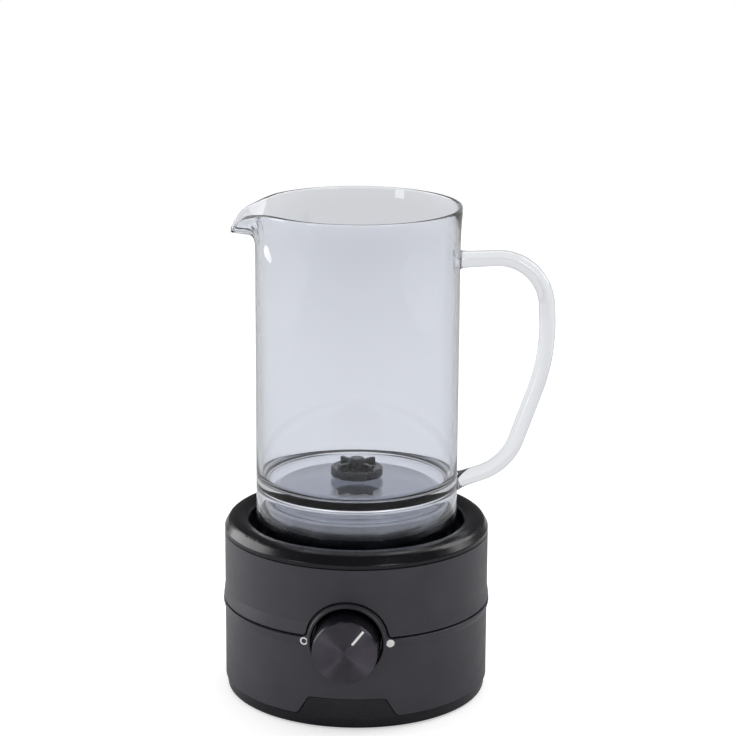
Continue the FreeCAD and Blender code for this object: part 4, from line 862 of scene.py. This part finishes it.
# %% [markdown]
# ## Lamps
# A wide soft box stands low to the left and a little behind, and a smaller one high
# to the right, so that the sleeves are bright along their edges and shade to a
# darker middle. A third box hangs overhead and draws the lines on the shoulders of
# the collar and the hub. Large lamps keep the edges of these highlights soft. Two
# small weak ones stand low in front, left and right: a narrow lamp is what draws a
# narrow wedge on the knob's face. The glass mirrors the lamps but doesn't show them
# through its wall, where their white sheets would hide its outline.

# %% Soft boxes
# Name; place, aim, width and height in metres; power in watts.
SOFT_BOXES = [
    ("left_box", (-1.38, 0.42, 0.42), (0.0, 0.0, 0.10), 1.4, 1.1, 17.0),
    ("right_box", (1.12, 0.50, 0.92), (0.05, 0.05, 0.06), 0.9, 1.1, 8.4),
    ("top_box", (0.05, 0.45, 1.5), (0.0, 0.0, 0.10), 1.2, 0.6, 5.0),
    ("front_left_box", (-1.05, -1.0, 0.24), (0.0, 0.0, 0.06), 0.3, 0.36, 1.6),
    ("front_right_box", (0.78, -1.18, 0.54), (0.0, 0.0, 0.06), 0.3, 0.4, 1.9),
]


def soft_box(name, place, aim, width, height, power):
    """Rectangular lamp that faces its aim and isn't seen through glass."""
    lamp = bpy.data.lights.new(name, "AREA")
    lamp.shape = "RECTANGLE"
    lamp.size = width
    lamp.size_y = height
    lamp.energy = power
    box = bpy.data.objects.new(name, lamp)
    bpy.context.scene.collection.objects.link(box)
    box.location = place
    box.visible_transmission = False
    box.rotation_euler = (Vector(aim) - Vector(place)).to_track_quat("-Z", "Y").to_euler()


for settings in SOFT_BOXES:
    soft_box(*settings)
print(len(SOFT_BOXES), "soft boxes")

# %% [markdown]
# ## Background and floor
# The maker stands on white with only a soft shadow under it. The world is white at
# strength 1 to the camera, a little less in or through glass, and a dimmer grey
# room to everything else, so the glow doesn't flood the object. Glass is told by
# its singular rays, which only a perfectly sharp surface sends, as long as they
# haven't met a matt surface on their way. Satin and gloss see the room dimmer
# still, which keeps the black collar black. The floor takes the lamps' light and
# adds enough of its own, to the camera only, to come out white where no shadow is.

# %% White world, white floor
# The world's strength to matt surfaces, in gloss, and in or through glass.
ROOM = 0.48
IN_GLOSS = 0.12
IN_GLASS = 0.8
# The floor's half widths in metres, and the strength of its own light.
FLOOR_X, FLOOR_Y = 0.8, 1.2
FLOOR_GLOW = 0.5
world = bpy.data.worlds.new("studio")
bpy.context.scene.world = world
world.use_nodes = True
tree = world.node_tree
tree.nodes.clear()
rays = add(tree, "LightPath").outputs
mirrored = add(tree, "MapRange", {
    "Value": rays["Glossy Depth"], "To Min": ROOM, "To Max": IN_GLOSS,
})
unspread = add(tree, "Math", {0: rays["Diffuse Depth"], 1: 0.5}, operation="LESS_THAN")
in_glass = add(tree, "Math", {0: unspread, 1: rays["Is Singular Ray"]}, operation="MULTIPLY")
unseen = add(tree, "Mix", {
    0: in_glass, FLOAT_A: mirrored, FLOAT_B: IN_GLASS,
}, data_type="FLOAT")
strength = add(tree, "Mix", {
    0: rays["Is Camera Ray"], FLOAT_A: unseen, FLOAT_B: 1.0,
}, data_type="FLOAT")
add(tree, "OutputWorld", {"Surface": add(tree, "Background", {
    "Color": (1.0, 1.0, 1.0, 1.0), "Strength": strength,
})})

floor_data = bpy.data.meshes.new("floor")
corners = [(x * FLOOR_X, y * FLOOR_Y, 0.0) for x, y in ((-1, -1), (1, -1), (1, 1), (-1, 1))]
floor_data.from_pydata(corners, [], [(0, 1, 2, 3)])
floor_piece = bpy.data.objects.new("floor", floor_data)
bpy.context.scene.collection.objects.link(floor_piece)
material, tree = blank_finish("matt_white_sweep")
rays = add(tree, "LightPath").outputs
lit = add(tree, "BsdfDiffuse", {"Color": linear("#e6e6e6")})
glow = add(tree, "Emission", {
    "Color": (1.0, 1.0, 1.0, 1.0),
    "Strength": add(tree, "Math", {0: rays["Is Camera Ray"], 1: FLOOR_GLOW}, operation="MULTIPLY"),
})
add(tree, "OutputMaterial", {"Surface": add(tree, "AddShader", {0: lit, 1: glow})})
floor_data.materials.append(material)
print("floor and world are white")

# %% [markdown]
# ## Camera
# A long lens a good metre away, a little above the base and turned a few degrees,
# as a table-top product is usually taken. `back` points from the maker towards the
# camera, and `right` and `up` are the picture's own directions.

# %% Place the camera
TURN, TILT, ROLL = math.radians(3.6), math.radians(14.643), math.radians(0.339)
DISTANCE, SHIFT_RIGHT, SHIFT_UP = 1.230406, 0.006146, 0.157083
FOCAL_LENGTH, SENSOR_WIDTH = 119.53, 36.0
back = Vector((math.sin(TURN) * math.cos(TILT), -math.cos(TURN) * math.cos(TILT), math.sin(TILT)))
level = Vector((math.cos(TURN), math.sin(TURN), 0.0))
above = back.cross(level)
right = level * math.cos(ROLL) + above * math.sin(ROLL)
up = above * math.cos(ROLL) - level * math.sin(ROLL)
spot = back * DISTANCE + right * SHIFT_RIGHT + up * SHIFT_UP
lens = bpy.data.cameras.new("camera")
lens.lens = FOCAL_LENGTH
lens.sensor_width = SENSOR_WIDTH
camera = bpy.data.objects.new("camera", lens)
bpy.context.scene.collection.objects.link(camera)
camera.matrix_world = Matrix((
    (right.x, up.x, back.x, spot.x),
    (right.y, up.y, back.y, spot.y),
    (right.z, up.z, back.z, spot.z),
    (0.0, 0.0, 0.0, 1.0),
))
bpy.context.scene.camera = camera
bpy.context.scene.view_settings.view_transform = "Standard"
print("camera at", [round(v, 3) for v in spot])
